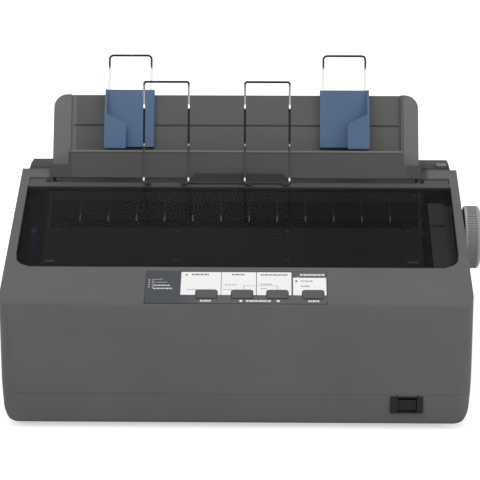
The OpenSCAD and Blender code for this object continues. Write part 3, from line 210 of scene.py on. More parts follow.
def addNoise(tree, scale, detail, stretch=None):
    place = tree.nodes.new("ShaderNodeTexCoord")
    noise = tree.nodes.new("ShaderNodeTexNoise")
    noise.inputs["Scale"].default_value = scale
    noise.inputs["Detail"].default_value = detail
    where = place.outputs["Object"]
    if stretch is not None:
        mapping = tree.nodes.new("ShaderNodeMapping")
        mapping.inputs["Scale"].default_value = stretch
        tree.links.new(where, mapping.inputs["Vector"])
        where = mapping.outputs["Vector"]
    tree.links.new(where, noise.inputs["Vector"])
    return noise.outputs["Fac"]


noiseReach = (0.3, 0.7)  # nearly all of a noise lies between these


def setColour(tree, shader, noise, colour, wander):
    # lets a colour wander by a share, darker to lighter
    amount = mapRange(tree, noise, *noiseReach)
    darker = [c * (1 - wander) for c in colour] + [1]
    lighter = [min(1, c * (1 + wander)) for c in colour] + [1]
    tone = blendColours(tree, "MIX", first=darker, second=lighter, amount=amount)
    tree.links.new(tone, shader.inputs["Base Color"])


def setRoughness(tree, shader, noise, low, high):
    tree.links.new(mapRange(tree, noise, *noiseReach, low, high), shader.inputs["Roughness"])


def roughen(tree, shader, source, strength, depth):
    bump = tree.nodes.new("ShaderNodeBump")
    bump.inputs["Strength"].default_value = strength
    bump.inputs["Distance"].default_value = depth
    tree.links.new(source, bump.inputs["Height"])
    tree.links.new(bump.outputs["Normal"], shader.inputs["Normal"])


# what the finishes of a kind share: scales of their noises, and how far the sheen goes either way
kinds = {
    "plastic": {"cloud": 22, "detail": 2, "smoother": 0.05, "rougher": 0.06, "depth": 0.0001},
    "metal": {"cloud": 30, "detail": 2, "strokes": 900, "strokeDetail": 4, "smoother": 0.06,
              "rougher": 0.1, "relief": 0.08, "depth": 0.00005},
    "rubber": {"grain": 900, "relief": 0.35, "wander": 0.1, "gloss": 0.1},
    "smoked": {"cloud": 14, "detail": 2, "wander": 0.06, "roughness": (0.11, 0.17), "gloss": 0.04},
    "card": {"fibre": 2600, "detail": 3, "wander": 0.012, "smoother": 0.04, "rougher": 0.04,
             "gloss": 0.16},
}


def mouldedPlastic(name, colour, roughness=0.5, grain=1400, relief=0.25, wander=0.04, gloss=0.16):
    # textured moulding: fine grain, faint cloudiness and uneven sheen
    kind = kinds["plastic"]
    material, tree, shader = startMaterial(name)
    cloud = addNoise(tree, kind["cloud"], kind["detail"])
    fine = addNoise(tree, grain, kind["detail"])
    setColour(tree, shader, cloud, colour, wander)
    setRoughness(tree, shader, fine, roughness - kind["smoother"], roughness + kind["rougher"])
    shader.inputs["Specular IOR Level"].default_value = gloss
    roughen(tree, shader, fine, relief, kind["depth"])
    return material


def barePlate(name, colour, roughness, brush=(1, 1, 1), wander=0.08):
    # metal, drawn or brushed along the axis where the stretch is small
    kind = kinds["metal"]
    material, tree, shader = startMaterial(name)
    strokes = addNoise(tree, kind["strokes"], kind["strokeDetail"], brush)
    cloud = addNoise(tree, kind["cloud"], kind["detail"])
    setColour(tree, shader, cloud, colour, wander)
    setRoughness(tree, shader, strokes, roughness - kind["smoother"], roughness + kind["rougher"])
    shader.inputs["Metallic"].default_value = 1.0
    roughen(tree, shader, strokes, kind["relief"], kind["depth"])
    return material


def rubberFinish(name, colour, roughness=0.75):
    return mouldedPlastic(name, colour, roughness, **kinds["rubber"])


def smokedClear(name, colour, see):
    # polished smoked sheet; see is the share of light that gets through once
    kind = kinds["smoked"]
    material, tree, shader = startMaterial(name)
    cloud = addNoise(tree, kind["cloud"], kind["detail"])
    setColour(tree, shader, cloud, colour, kind["wander"])
    setRoughness(tree, shader, cloud, *kind["roughness"])
    shader.inputs["Specular IOR Level"].default_value = kind["gloss"]
    shader.inputs["Alpha"].default_value = 1 - see
    return material


def printedCard(name, colour, roughness=0.5):
    kind = kinds["card"]
    material, tree, shader = startMaterial(name)
    fibre = addNoise(tree, kind["fibre"], kind["detail"])
    setColour(tree, shader, fibre, colour, kind["wander"])
    setRoughness(tree, shader, fibre, roughness - kind["smoother"], roughness + kind["rougher"])
    shader.inputs["Specular IOR Level"].default_value = kind["gloss"]
    return material


# finishes, with their colours as linear red, green and blue
plastics = {
    "caseGrey": {"colour": (0.138, 0.138, 0.138), "roughness": 0.54, "gloss": 0.05},
    "panelGrey": {"colour": (0.09, 0.09, 0.091), "roughness": 0.55},
    "guideGrey": {"colour": (0.123, 0.123, 0.123), "roughness": 0.52},
    "knobGrey": {"colour": (0.35, 0.35, 0.35)},
    "railBlack": {"colour": (0.066, 0.063, 0.066), "roughness": 0.45},
    "slateFilm": {"colour": (0.047, 0.052, 0.064), "roughness": 0.4, "grain": 2200,
                  "relief": 0.1, "wander": 0.03},
    "keySlate": {"colour": (0.086, 0.09, 0.087), "roughness": 0.45, "grain": 1800,
                 "relief": 0.15, "wander": 0.03},
    "guideBlue": {"colour": (0.101, 0.168, 0.286), "roughness": 0.45, "grain": 1600,
                  "relief": 0.2},
    "leverBlue": {"colour": (0.04, 0.1, 0.42), "roughness": 0.45, "grain": 1600,
                  "relief": 0.15, "wander": 0.05, "gloss": 0.05},
    "leverGrey": {"colour": (0.13, 0.13, 0.14), "roughness": 0.45, "grain": 1600,
                  "relief": 0.15, "wander": 0.05},
    "blackSatin": {"colour": (0.012, 0.012, 0.012), "roughness": 0.35, "grain": 1800,
                   "relief": 0.12, "wander": 0.1},
    "chassisBlack": {"colour": (0.03, 0.03, 0.032), "grain": 1200, "relief": 0.2, "wander": 0.1},
    "nylon": {"colour": (0.62, 0.6, 0.54), "roughness": 0.4, "grain": 1500, "relief": 0.08},
    "lampLens": {"colour": (0.4, 0.46, 0.37), "roughness": 0.2, "grain": 1500,
                 "relief": 0.03, "wander": 0.03},
    "gearBlack": {"colour": (0.02, 0.02, 0.02), "roughness": 0.45, "grain": 1500,
                  "relief": 0.08, "wander": 0.05},
    "unitBlack": {"colour": (0.012, 0.0102, 0.0108), "roughness": 0.55, "grain": 1200,
                  "relief": 0.04, "wander": 0.02, "gloss": 0.04},
    "shieldBlack": {"colour": (0.054, 0.047, 0.05), "roughness": 0.6, "grain": 900,
                    "relief": 0.04, "wander": 0.02, "gloss": 0.04},
    "shelfGrey": {"colour": (0.19, 0.18, 0.184), "roughness": 0.55},
    "cartridgeBlack": {"colour": (0.05, 0.047, 0.048), "roughness": 0.55, "grain": 1200,
                       "relief": 0.15, "wander": 0.06},
    "boardGreen": {"colour": (0.02, 0.14, 0.06), "roughness": 0.35, "grain": 1500,
                   "relief": 0.1, "wander": 0.15},
    # painted highlight: finish of the bright strips on the rib edges
    "wornEdge": {"colour": (0.06, 0.057, 0.057), "gloss": 0.05},
    "tabOlive": {"colour": (0.075, 0.073, 0.064)},
}
metals = {
    "frontWire": {"colour": (0.95, 0.95, 0.96), "roughness": 0.14, "wander": 0.03},
    "rearWire": {"colour": (0.95, 0.95, 0.96), "roughness": 0.14, "wander": 0.03},
    "zincSteel": {"colour": (0.5, 0.51, 0.53), "roughness": 0.34, "brush": (0.04, 1, 1)},
    "phosphatedSteel": {"colour": (0.1, 0.1, 0.105), "roughness": 0.5, "brush": (0.04, 1, 1)},
    "groundSteel": {"colour": (0.5, 0.5, 0.52), "roughness": 0.3, "brush": (0.02, 1, 1),
                    "wander": 0.04},
    "motorCan": {"colour": (0.26, 0.27, 0.29), "roughness": 0.45, "brush": (1, 1, 0.1)},
    "turnedBrass": {"colour": (0.72, 0.55, 0.27), "roughness": 0.28, "brush": (0.1, 1, 1)},
    "headAlloy": {"colour": (0.09, 0.09, 0.095), "roughness": 0.55, "brush": (1, 0.1, 1)},
    "darkSteel": {"colour": (0.09, 0.09, 0.09), "roughness": 0.55, "brush": (0.1, 1, 1)},
}
rubbers = {
    "platenRubber": {"colour": (0.022, 0.022, 0.022), "roughness": 0.6},
    "beltRubber": {"colour": (0.016, 0.016, 0.016)},
    "footRubber": {"colour": (0.03, 0.03, 0.03)},
    "inkCloth": {"colour": (0.012, 0.012, 0.016), "roughness": 0.85},
}
prints = {
    "labelWhite": {"colour": (0.97, 0.97, 0.97)},
    "printLight": {"colour": (0.85, 0.86, 0.85)},
    "printGrey": {"colour": (0.36, 0.37, 0.38)},
    "printDark": {"colour": (0.16, 0.16, 0.165)},
    "printOlive": {"colour": (0.14, 0.14, 0.05)},
}
smoked = {"smokedCover": {"colour": (0.0045, 0.0034, 0.0037), "see": 0.58}}
finishes = {}
for makeFinish, table in ((mouldedPlastic, plastics), (barePlate, metals), (rubberFinish, rubbers),
                          (printedCard, prints), (smokedClear, smoked)):
    for finishName, finishValues in table.items():
        finishes[finishName] = makeFinish(finishName, **finishValues)

# painted reflection: the dark and bright bands that a bent wire reflects, set into its colour:
# millimetres below its top, and tone
paintedWireReflections = {
    "frontWire": {
        "node": "paper_support_left",
        "bands": [(0, 0.02), (2.5, 0.03), (4.0, 0.3), (17.5, 0.36), (18.5, 0.95), (20.5, 0.95),
                  (21.5, 0.02), (46.8, 0.015), (47.4, 0.24), (48.6, 0.24), (49.2, 0.015),
                  (50.8, 0.05), (71.5, 0.055), (73.0, 0.8), (75.0, 0.06)],
    },
    "rearWire": {
        "node": "guide_wire_left",
        "bands": [(0, 0.03), (9.0, 0.05), (11.5, 0.55), (30.0, 0.6)],
    },
}
bandReach = 100.0  # millimetres that the ramp covers
bandBlue = 1.02  # the bands are a touch blue


def retone(material, **sources):
    # multiplies the finish's colour
    tree = material.node_tree
    shader = tree.nodes["Principled BSDF"]
    old = shader.inputs["Base Color"].links[0].from_socket
    new = blendColours(tree, "MULTIPLY", first=old, **sources)
    tree.links.new(new, shader.inputs["Base Color"])


# painted reflection: sets the bands into the colour, by depth below the top
def paintReflectionBands(material, top, bands):
    tree = material.node_tree
    depth = mapRange(tree, splitPlace(tree)["Z"], top, top - bandReach / 1000)
    ramp = tree.nodes.new("ShaderNodeValToRGB")
    ramp.color_ramp.interpolation = "LINEAR"
    while len(ramp.color_ramp.elements) < len(bands):
        ramp.color_ramp.elements.new(0.5)
    for element, (distance, level) in zip(ramp.color_ramp.elements, bands):
        element.position = distance / bandReach
        element.color = (level, level, level * bandBlue, 1)
    tree.links.new(depth, ramp.inputs["Fac"])
    retone(material, second=ramp.outputs["Color"], amount=1.0)


for wireName, wire in paintedWireReflections.items():
    paintReflectionBands(finishes[wireName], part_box(wire["node"])[1][2], wire["bands"])


def measure(tree, axis, start, end, source="Object"):
    # runs softly from 0 at start to 1 at end, in printer millimetres along an axis;
    # "Side" is the distance from the middle plane, "Facing" how far the surface faces that way
    if source == "Facing":
        return mapRange(tree, splitPlace(tree, "Normal")[axis], start, end, curve="SMOOTHSTEP")
    value = splitPlace(tree)[axis]
    offset = {"X": middle["x"], "Y": middle["y"], "Z": 0}[axis]
    if source == "Side":
        value = combine(tree, "ABSOLUTE", combine(tree, "ADD", value, offset / 1000))
        offset = 0
    start, end = (start - offset) / 1000, (end - offset) / 1000
    return mapRange(tree, value, start, end, curve="SMOOTHSTEP")


def toneWhere(material, share, zones):
    # multiplies the colour by a share where all the zones hold
    tree = material.node_tree
    where = measure(tree, *zones[0])
    for zone in zones[1:]:
        where = combine(tree, "MULTIPLY", where, measure(tree, *zone))
    retone(material, second=list(share) + [1], amount=where)


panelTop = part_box("sheet_guide_cover")[1][2] * 1000
tones = [
    # the sheet guide's side frames
    ("guideGrey", (1.5, 1.5, 1.5), [("X", 131.5, 132.0, "Side")]),
    # the panel's film, all but its dark left end
    ("slateFilm", (1.95, 1.85, 1.55), [("X", -45, -20)]),
    # painted light: the knob's flange lighter, against the shade in its gap to the case
    ("knobGrey", (1.6, 1.6, 1.6), [("X", 178.5, 176.5)]),
    # the rail's raised flap
    ("railBlack", (0.42, 0.42, 0.43), [("Z", 143.5, 144.3)]),
    # painted highlight: the ribs' lower ends brighter
    ("wornEdge", (8.0, 8.0, 8.0), [("Y", 128.5, 125.5)]),
    # painted light: the rear paper guide lighter where it lies in shade
    ("chassisBlack", (3.3, 3.3, 3.5), [("Z", 130, 132)]),
    # the sheet guide cover's ends, and a painted highlight along the top of its lip
    ("panelGrey", (0.8, 0.8, 0.8), [("X", 131.5, 134, "Side")]),
    ("panelGrey", (1.9, 1.9, 1.88), [("Z", panelTop - 1.3, panelTop - 0.7)]),
    # painted shade: upward faces at the back darker, and the case between the shoulders darker
    ("caseGrey", (0.2, 0.2, 0.2), [("Y", 180, 184), ("Z", 0.7, 0.9, "Facing")]),
    ("caseGrey", (0.5, 0.5, 0.5), [("X", 150, 148, "Side"), ("Y", 160, 161), ("Z", 134, 135)]),
    # the case seam
    ("caseGrey", (0.6, 0.6, 0.6), [("Z", 28.75, 28.85), ("Z", 29.25, 29.15)]),
    # painted shade: the case darker in the gap round the smoked cover, at its sides and its front
    ("caseGrey", (0.08, 0.08, 0.08), [("X", 164.3, 164.6, "Side"), ("X", 166.5, 166.1, "Side"),
                                      ("Y", 64, 66), ("Y", 158, 157), ("Z", 95, 96)]),
    ("caseGrey", (0.1, 0.1, 0.1), [("X", 156.5, 156, "Side"), ("Y", 50.0, 50.6),
                                   ("Y", 53, 52.5), ("Z", 95, 96)]),
]
for finishName, toneShare, toneZones in tones:
    toneWhere(finishes[finishName], toneShare, toneZones)

nodeFinish = {
    "caseGrey": ["lower_case", "upper_case"],
    "railBlack": ["exit_rail"],
    "slateFilm": ["control_panel"],
    "keySlate": ["font_button", "feed_button", "load_button", "pause_button"],
    "lampLens": ["indicator_lamps"],
    "blackSatin": ["power_switch_frame", "power_rocker", "rear_sockets"],
    "smokedCover": ["printer_cover"],
    "panelGrey": ["sheet_guide_cover"],
    "frontWire": ["paper_support_left", "paper_support_right"],
    "rearWire": ["guide_wire_left", "guide_wire_right"],
    "guideGrey": ["sheet_guide"],
    "guideBlue": ["edge_guide_left", "edge_guide_right"],
    "cartridgeBlack": ["ribbon_cartridge"],
    "unitBlack": ["tension_unit"],
    "chassisBlack": ["base_frame", "carriage", "tractor_left", "tractor_right",
                     "tractor_cover_left", "tractor_cover_right"],
    "phosphatedSteel": ["side_frame_left", "side_frame_right", "carriage_rail"],
    "zincSteel": ["power_supply", "case_screws"],
    "groundSteel": ["guide_rod", "tractor_shaft", "tractor_rod"],
    "darkSteel": ["platen_shaft"],
    "platenRubber": ["platen_roller", "pinch_rollers"],
    "knobGrey": ["platen_knob"],
    "nylon": ["tractor_gear", "sprocket_left", "sprocket_right"],
    "gearBlack": ["platen_gear", "idler_gear_front", "idler_gear_rear", "reduction_gear"],
    "motorCan": ["feed_motor", "carriage_motor"],
    "turnedBrass": ["motor_pinion", "motor_pulley", "idler_pulley"],
    "headAlloy": ["print_head"],
    "inkCloth": ["ink_ribbon"],
    "beltRubber": ["timing_belt"],
    "leverGrey": ["paper_release_lever"],
    "leverBlue": ["thickness_lever"],
    "boardGreen": ["main_board"],
    "footRubber": ["rubber_feet"],
}
print("finishes ready,", len(finishes))

# CAD nodes: joined faces, smooth curves and broken edges, all as modifiers
nodeEdges = {"mergeDistance": 0.00001, "smoothAngle": 32, "bevelAngle": 38, "bevelSegments": 2}


def smoothSteps(angle):
    group = bpy.data.node_groups.new("smoothSteps", "GeometryNodeTree")
    for direction in ("INPUT", "OUTPUT"):
        group.interface.new_socket("Geometry", in_out=direction,
                                   socket_type="NodeSocketGeometry")
    start = group.nodes.new("NodeGroupInput")
    end = group.nodes.new("NodeGroupOutput")
    merge = group.nodes.new("GeometryNodeMergeByDistance")
    merge.inputs["Distance"].default_value = nodeEdges["mergeDistance"]
    edgeAngle = group.nodes.new("GeometryNodeInputMeshEdgeAngle")
    shallow = group.nodes.new("FunctionNodeCompare")
    shallow.data_type = "FLOAT"
    shallow.operation = "LESS_THAN"
    shallow.inputs[1].default_value = math.radians(angle)
    faces = group.nodes.new("GeometryNodeSetShadeSmooth")
    faces.domain = "FACE"
    edges = group.nodes.new("GeometryNodeSetShadeSmooth")
    edges.domain = "EDGE"
    link = group.links.new
    link(start.outputs[0], merge.inputs["Geometry"])
    link(edgeAngle.outputs["Unsigned Angle"], shallow.inputs[0])
    link(merge.outputs["Geometry"], faces.inputs["Geometry"])
    link(faces.outputs["Geometry"], edges.inputs["Geometry"])
    link(shallow.outputs["Result"], edges.inputs["Shade Smooth"])
    link(edges.outputs["Geometry"], end.inputs[0])
    return group


# widths in millimetres
edgeBreaks = {
    "lower_case": 0.5, "upper_case": 0.5, "exit_rail": 0.4, "sheet_guide": 0.4,
    "sheet_guide_cover": 0.35, "edge_guide_left": 0.25, "edge_guide_right": 0.25,
    "control_panel": 0.15, "font_button": 0.3, "feed_button": 0.3, "load_button": 0.3,
    "pause_button": 0.3, "power_switch_frame": 0.3, "power_rocker": 0.3, "printer_cover": 0.3,
    "ribbon_cartridge": 0.6, "carriage": 0.4, "tension_unit": 0.15, "paper_release_lever": 0.4,
    "thickness_lever": 0.4, "rear_sockets": 0.2, "tractor_left": 0.3, "tractor_right": 0.3,
    "tractor_cover_left": 0.2, "tractor_cover_right": 0.2, "print_head": 0.3,
    "rubber_feet": 0.5, "power_supply": 0.5,
}
rounding = smoothSteps(nodeEdges["smoothAngle"])
for finish, names in nodeFinish.items():
    for name in names:
        node = nodes[name]
        if not node.material_slots:
            node.data.materials.append(None)
        for holder in node.material_slots:
            holder.material = finishes[finish]
        step = node.modifiers.new("smoothSteps", "NODES")
        step.node_group = rounding
        if name in edgeBreaks:
            bevel = node.modifiers.new("brokenEdges", "BEVEL")
            bevel.width = edgeBreaks[name] / 1000
            bevel.segments = nodeEdges["bevelSegments"]
            bevel.limit_method = "ANGLE"
            bevel.angle_limit = math.radians(nodeEdges["bevelAngle"])
            bevel.harden_normals = True
print("nodes dressed")

# control panel print: white fields, captions as rows of plain dashes, dots and diamonds;
# each rectangle is left, right, lower and upper on the panel, in millimetres
panelPrint = {
    "fields": [(-40.9, -11.3, 10.5, 39.6), (-10.9, 14.6, 10.5, 39.6), (15.1, 40.6, 10.5, 39.6),
               (41.8, 66.3, 10.5, 32.8)],
    "fieldThickness": 0.12, "fieldRound": 0.4,
    "tabMiddles": [-21.8, 4.4, 30.3, 56.5], "tabWidth": 15.2, "tabTop": 16.9, "tabRound": 2.6,
    "tabSideGap": 0.7, "tabTopGap": 0.5, "tabRoundAbove": 10.0, "cutterBase": -2, "cutterHeight": 4,
    "titles": [(-33.0, -20.5, 35.4, 37.4), (-3.4, 6.2, 35.6, 37.4), (18.1, 38.1, 35.4, 37.2)],
    "lines": [(-36.1, -28.4, 16.6, 17.5), (-9.6, -2.6, 16.6, 17.5), (-8.3, 0.5, 22.7, 23.8),
              (18.2, 27.0, 23.5, 24.8), (18.2, 22.2, 17.8, 19.1), (47.7, 56.6, 27.6, 29.2),
              (47.6, 54.3, 21.2, 22.8)],
    "links": [(5.2, 30.5, 21.9, 22.3), (5.2, 5.6, 17.6, 22.3), (30.1, 30.5, 17.6, 22.3)],
    "faintCaptions": [(-60.6, -54.6, 29.6, 30.8), (-60.6, -51.2, 25.7, 26.9)],
    "captions": [(-60.6, -49.2, 21.8, 23.1), (-61.2, -47.2, 17.8, 19.2), (47.0, 65.6, 35.4, 37.8),
                 (-26.2, -18.3, 2.0, 4.2), (7.4, 26.3, 2.0, 4.2), (52.9, 60.8, 2.0, 4.2)],
    "dots": [(-37.7, -36.3, 35.0, 36.8), (43.4, 45.0, 27.4, 29.2)],
    "diamonds": [(3.6, 3.1), (30.9, 3.1)], "diamondReach": 1.6,
    "dashes": [1.3, 0.8, 1.6, 1.0], "dashGap": 0.5, "shortest": 0.3,
    "barThickness": 0.06,
}


def inDashes(rows):
    # breaks each long bar into a row of short dashes of uneven length
    values = panelPrint
    pieces = []
    for x0, x1, v0, v1 in rows:
        x, count = x0, 0
        while x < x1 - values["shortest"]:
            end = min(x + values["dashes"][count % len(values["dashes"])], x1)
            pieces.append((x, end, v0, v1))
            x, count = end + values["dashGap"], count + 1
    return pieces


def makeFields():
    values = panelPrint
    fields = []
    for (x0, x1, v0, v1), tabX in zip(values["fields"], values["tabMiddles"]):
        plate = flatBar("field", x0, x1, v0, v1, 0.0, values["fieldThickness"])
        roundUprights(plate, values["fieldRound"], 3)
        half = values["tabWidth"] / 2 + values["tabSideGap"]
        top = values["tabTop"] + values["tabTopGap"]
        cutter = flatBar("tabCutter", tabX - half, tabX + half, 0, top,
                         values["cutterBase"], values["cutterHeight"])
        roundUprights(cutter, values["tabRound"], 5, above=values["tabRoundAbove"])
        cutAway(plate, cutter)
        fields.append(plate)
    labels = joinAll("panelFields", fields)
    settle(labels, onDeck(deck["panelY"]))
    giveFinish(labels, finishes["labelWhite"])
    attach(labels, "printer_body")


def makeBars(name, rows, base, finish):
    thickness = panelPrint["barThickness"]
    bars = [flatBar("bar", x0, x1, v0, v1, base, thickness) for x0, x1, v0, v1 in rows]
    bars = joinAll(name, bars)
    settle(bars, onDeck(deck["panelY"]))
    giveFinish(bars, finishes[finish])
    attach(bars, "printer_body")


def makeDiamonds():
    values = panelPrint
    thickness = values["barThickness"] / 1000
    shapes = []
    for x, v in values["diamonds"]:
        selectNothing()
        bpy.ops.mesh.primitive_cylinder_add(vertices=4, radius=values["diamondReach"] / 1000,
                                            depth=thickness,
                                            location=(x / 1000, v / 1000, thickness / 2))
        shapes.append(settle(bpy.context.object))
    diamonds = joinAll("panelDiamonds", shapes)
    settle(diamonds, onDeck(deck["panelY"]))
    giveFinish(diamonds, finishes["printLight"])
    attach(diamonds, "printer_body")


makeFields()
onField = panelPrint["fieldThickness"]
makeBars("fieldTitles", inDashes(panelPrint["titles"]), onField, "printDark")
makeBars("fieldLines", inDashes(panelPrint["lines"]), onField, "printGrey")
makeBars("fieldLinks", panelPrint["links"], onField, "printGrey")
makeBars("fieldDots", panelPrint["dots"], onField, "printOlive")
makeBars("panelCaptions", inDashes(panelPrint["captions"]), 0.0, "printLight")
makeBars("panelFaintCaptions", inDashes(panelPrint["faintCaptions"]), 0.0, "printGrey")
makeDiamonds()
print("control panel printed")

# small pieces round the paper path and the switch
ribGlintLayout = {
    "first": -122.5, "step": 21.818, "count": 12, "width": 0.9, "depth": 0.5, "ahead": 0.1,
    "path": [(120.8, 124.4), (132.0, 129.2), (148.6, 134.0)],
}


def makeRibGlints():
    # painted highlight: a bright strip on the front edge of each rib of the tension unit
    values = ribGlintLayout
    start = values["path"][0]
    strips = []
    for number in range(values["count"]):
        x = values["first"] + number * values["step"]
        selectNothing()
        bpy.ops.mesh.primitive_plane_add(size=1,
                                         location=spot(x, start[0] - values["ahead"], start[1]))
        strip = bpy.context.object
        strip.scale = (values["width"] / 1000, values["depth"] / 1000, 1)
        settle(strip)
        bpy.ops.object.mode_set(mode="EDIT")
        bpy.ops.mesh.select_all(action="SELECT")
        last = start
        for y, z in values["path"][1:]:
            move = (0, (y - last[0]) / 1000, (z - last[1]) / 1000)
            bpy.ops.mesh.extrude_region_move(TRANSFORM_OT_translate={"value": move})
            last = (y, z)
        bpy.ops.mesh.select_all(action="SELECT")
        bpy.ops.mesh.normals_make_consistent(inside=False)
        bpy.ops.object.mode_set(mode="OBJECT")
        strips.append(strip)
    edges = joinAll("ribGlintStrips", strips)
    giveFinish(edges, finishes["wornEdge"])
    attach(edges, "printer_body")


railEnd = {"spans": [(-165.2, -152.0), (145.6, 165.2)], "y": (163.2, 169.9), "height": 3.0,
           "sunk": 0.4, "edge": 0.5}


def makeRailEnds():
    # end blocks that close the gap between the rail and the shoulders
    values = railEnd
    front, back = values["y"]
    ends = []
    for x0, x1 in values["spans"]:
        end = flatBar("end", x0, x1, 0, alongDeck(front, back), -values["height"],
                      values["height"] - values["sunk"])
        runModifier(end, "BEVEL", width=values["edge"] / 1000, segments=2)
        ends.append(end)
    ends = joinAll("railEnds", ends)
    settle(ends, onDeck(front))
    giveFinish(ends, finishes["railBlack"])
    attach(ends, "printer_body")


gearShelf = {"x": (147.6, 159.6), "y": (57.0, 143.5), "drop": 5.6, "thickness": 1.6, "step": 2.4,
             "reach": 166.2, "groove": (111.6, 114.4), "grooveDepth": 1.3, "grooveOver": 1.0,
             "edge": 0.3}


def makeGearShelf():
    # bent shelf over the gear train, held by the case's skirt on the right
    values = gearShelf
    x0, x1 = values["x"]
    front, back = values["y"]
    run = alongDeck(front, back)
    selectNothing()
    bpy.ops.mesh.primitive_plane_add(size=1)
    shelf = bpy.context.object
    shelf.scale = ((x1 - x0) / 1000, run / 1000, 1)
    shelf.location = ((x0 + x1) / 2000, run / 2000, -values["drop"] / 1000)
    settle(shelf)
    bpy.ops.object.mode_set(mode="EDIT")
    bpy.ops.mesh.select_mode(type="EDGE")
    # a step down from the right edge, then on to the skirt
    for move in ((0, 0, -values["step"] / 1000), ((values["reach"] - x1) / 1000, 0, 0)):
        bpy.ops.mesh.select_all(action="DESELECT")
        mesh = bmesh.from_edit_mesh(shelf.data)
        right = max(vert.co.x for vert in mesh.verts)
        low = min(vert.co.z for vert in mesh.verts)
        for edge in mesh.edges:
            edge.select = all(abs(vert.co.x - right) < nearZero and abs(vert.co.z - low) < nearZero
                              for vert in edge.verts)
        mesh.select_flush_mode()
        bmesh.update_edit_mesh(shelf.data)
        bpy.ops.mesh.extrude_edges_move(TRANSFORM_OT_translate={"value": move})
    bpy.ops.mesh.select_all(action="SELECT")
    bpy.ops.mesh.normals_make_consistent(inside=False)
    bpy.ops.object.mode_set(mode="OBJECT")
    if shelf.data.polygons[0].normal.z < 0:
        shelf.data.flip_normals()
    runModifier(shelf, "SOLIDIFY", thickness=values["thickness"] / 1000, offset=-1)
    g0, g1 = [alongDeck(front, y) for y in values["groove"]]
    depth = values["drop"] + values["grooveDepth"]
    over = values["grooveOver"]
    cutAway(shelf, flatBar("grooveCutter", x0 - over, x1 + over, g0, g1, -depth, depth))
    runModifier(shelf, "BEVEL", width=values["edge"] / 1000, segments=2, limit_method="ANGLE")
    settle(shelf, onDeck(front))
    shelf.name = "gearShelf"
    giveFinish(shelf, finishes["shelfGrey"])
    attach(shelf, "printer_body")


coverShield = {"x": (-147.5, 140.0), "y": (56.0, 106.0), "drop": 3.0, "thickness": 1.0,
               "corner": 2.0, "edge": 0.25, "studs": [-138, -46, 38, 130], "studSize": 3.0,
               "studInset": 6.0, "studHeight": 1.2, "studRise": 0.3}


def makeCoverShield():
    # dark sheet held by studs under the front half of the cover
    values = coverShield
    x0, x1 = values["x"]
    front, back = values["y"]
    run = alongDeck(front, back)
    sheet = flatBar("sheet", x0, x1, 0, run, -values["drop"] - values["thickness"],
                    values["thickness"])
    roundUprights(sheet, values["corner"], 4)
    runModifier(sheet, "BEVEL", width=values["edge"] / 1000, segments=2, limit_method="ANGLE")
    parts = [sheet]
    level = (values["studRise"] - values["drop"]) / 1000
    for x in values["studs"]:
        for v in (values["studInset"], run - values["studInset"]):
            selectNothing()
            bpy.ops.mesh.primitive_cylinder_add(vertices=16, radius=values["studSize"] / 2000,
                                                depth=values["studHeight"] / 1000,
                                                location=(x / 1000, v / 1000, level))
            parts.append(settle(bpy.context.object))
    shield = joinAll("coverShield", parts)
    settle(shield, onDeck(front))
    giveFinish(shield, finishes["shieldBlack"])
    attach(shield, "printer_cover")


coverTab = {"spans": [(-144.4, -137.1), (127.8, 136.0)], "y": (59.2, 63.0), "top": 1.5,
            "bottom": 3.7, "round": 0.8}


def makeCoverTabs():
    # low stops under the front of the smoked cover
    values = coverTab
    front, back = values["y"]
    height = deckHeight(front)
    tabs = []
    for x0, x1 in values["spans"]:
        tab = addBlock("tab", spot(x0, front, height - values["bottom"]),
                       spot(x1, back, height - values["top"]))
        roundUprights(tab, values["round"], 3)
        tabs.append(tab)
    tabs = joinAll("coverTabs", tabs)
    giveFinish(tabs, finishes["tabOlive"])
    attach(tabs, "printer_cover")


switchClip = {"places": [118.6, 133.8], "width": 0.6, "y": (0.6, 1.8), "z": (26.6, 28.9),
              "edge": 0.2}


def makeSwitchClips():
    # the two moulded catches that hold the switch frame in the case
    values = switchClip
    half = values["width"] / 2
    front, back = values["y"]
    low, high = values["z"]
    clips = []
    for x in values["places"]:
        clip = addBlock("clip", spot(x - half, front, low), spot(x + half, back, high))
        runModifier(clip, "BEVEL", width=values["edge"] / 1000, segments=2)
        clips.append(clip)
    clips = joinAll("switchClips", clips)
    giveFinish(clips, finishes["blackSatin"])
    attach(clips, "printer_body")


makeRibGlints()
makeRailEnds()
makeGearShelf()
makeCoverShield()
makeCoverTabs()
makeSwitchClips()
print("small pieces made")

# the camera's place and target are in printer millimetres, the rest is in metres
studio = {
    "floor": {"size": 14, "at": (0, 3, 0), "colour": 0.92, "roughness": 0.9, "lift": 0.56},
    "worldFill": 0.36,
    "lamps": {
        "key": {"at": (-0.75, -1.15, 1.45), "size": 1.3, "watts": 7.4},
        "top": {"at": (0.25, 0.15, 1.7), "size": 1.7, "watts": 8.6},
        "side": {"at": (1.4, -0.9, 0.9), "size": 1.0, "watts": 6.5},
        "back": {"at": (-0.9, 1.5, 1.6), "size": 1.8, "watts": 8.0},
        "front": {"at": (0.1, -2.0, 0.15), "size": 1.4, "watts": 2.0},
    },
    "aim": (0.0, 0.0, 0.09),
    "camera": {"at": (25.1, -1544.58, 650.5), "target": (1.56, 110.0, 112.84), "lens": 169.48,
               "sensor": 36, "clip": (0.05, 60)},
}


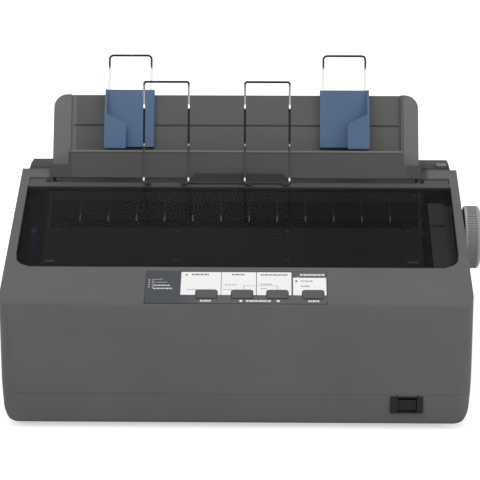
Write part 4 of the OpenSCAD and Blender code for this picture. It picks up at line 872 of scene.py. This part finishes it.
def backdropRays(tree):
    # 1 for the rays that have to see the backdrop white
    path = tree.nodes.new("ShaderNodeLightPath")
    total = path.outputs["Is Camera Ray"]
    for name in ("Is Glossy Ray", "Is Transmission Ray"):
        total = combine(tree, "MAXIMUM", total, path.outputs[name])
    return total


def makeFloor():
    values = studio["floor"]
    selectNothing()
    bpy.ops.mesh.primitive_plane_add(size=values["size"], location=values["at"])
    floor = bpy.context.object
    floor.name = "studioFloor"
    material, tree, shader = startMaterial("studioFloor")
    shader.inputs["Base Color"].default_value = [values["colour"]] * 3 + [1]
    shader.inputs["Roughness"].default_value = values["roughness"]
    shader.inputs["Specular IOR Level"].default_value = 0.0
    shader.inputs["Emission Color"].default_value = (1, 1, 1, 1)
    lift = combine(tree, "MULTIPLY", backdropRays(tree), values["lift"])
    tree.links.new(lift, shader.inputs["Emission Strength"])
    giveFinish(floor, material)


def makeWorld():
    world = bpy.data.worlds.new("studioWorld")
    bpy.context.scene.world = world
    world.use_nodes = True
    tree = world.node_tree
    back = tree.nodes["Background"]
    back.inputs["Color"].default_value = (1, 1, 1, 1)
    level = mapRange(tree, backdropRays(tree), 0.0, 1.0, studio["worldFill"], 1.0)
    tree.links.new(level, back.inputs["Strength"])


def makeLamp(name, values):
    selectNothing()
    bpy.ops.object.light_add(type="AREA", location=values["at"])
    lamp = bpy.context.object
    lamp.name = name
    lamp.data.size = values["size"]
    lamp.data.energy = values["watts"]
    aim = Vector(studio["aim"]) - Vector(values["at"])
    lamp.rotation_euler = aim.to_track_quat("-Z", "Y").to_euler()


def makeCamera():
    values = studio["camera"]
    at, target = spot(*values["at"]), spot(*values["target"])
    selectNothing()
    bpy.ops.object.camera_add(location=at)
    camera = bpy.context.object
    camera.rotation_euler = (target - at).to_track_quat("-Z", "Y").to_euler()
    camera.data.lens = values["lens"]
    camera.data.sensor_width = values["sensor"]
    camera.data.clip_start, camera.data.clip_end = values["clip"]
    bpy.context.scene.camera = camera


makeFloor()
makeWorld()
for lampName, lampValues in studio["lamps"].items():
    makeLamp(lampName, lampValues)
makeCamera()
bpy.context.scene.view_settings.view_transform = "Standard"
print("studio set")
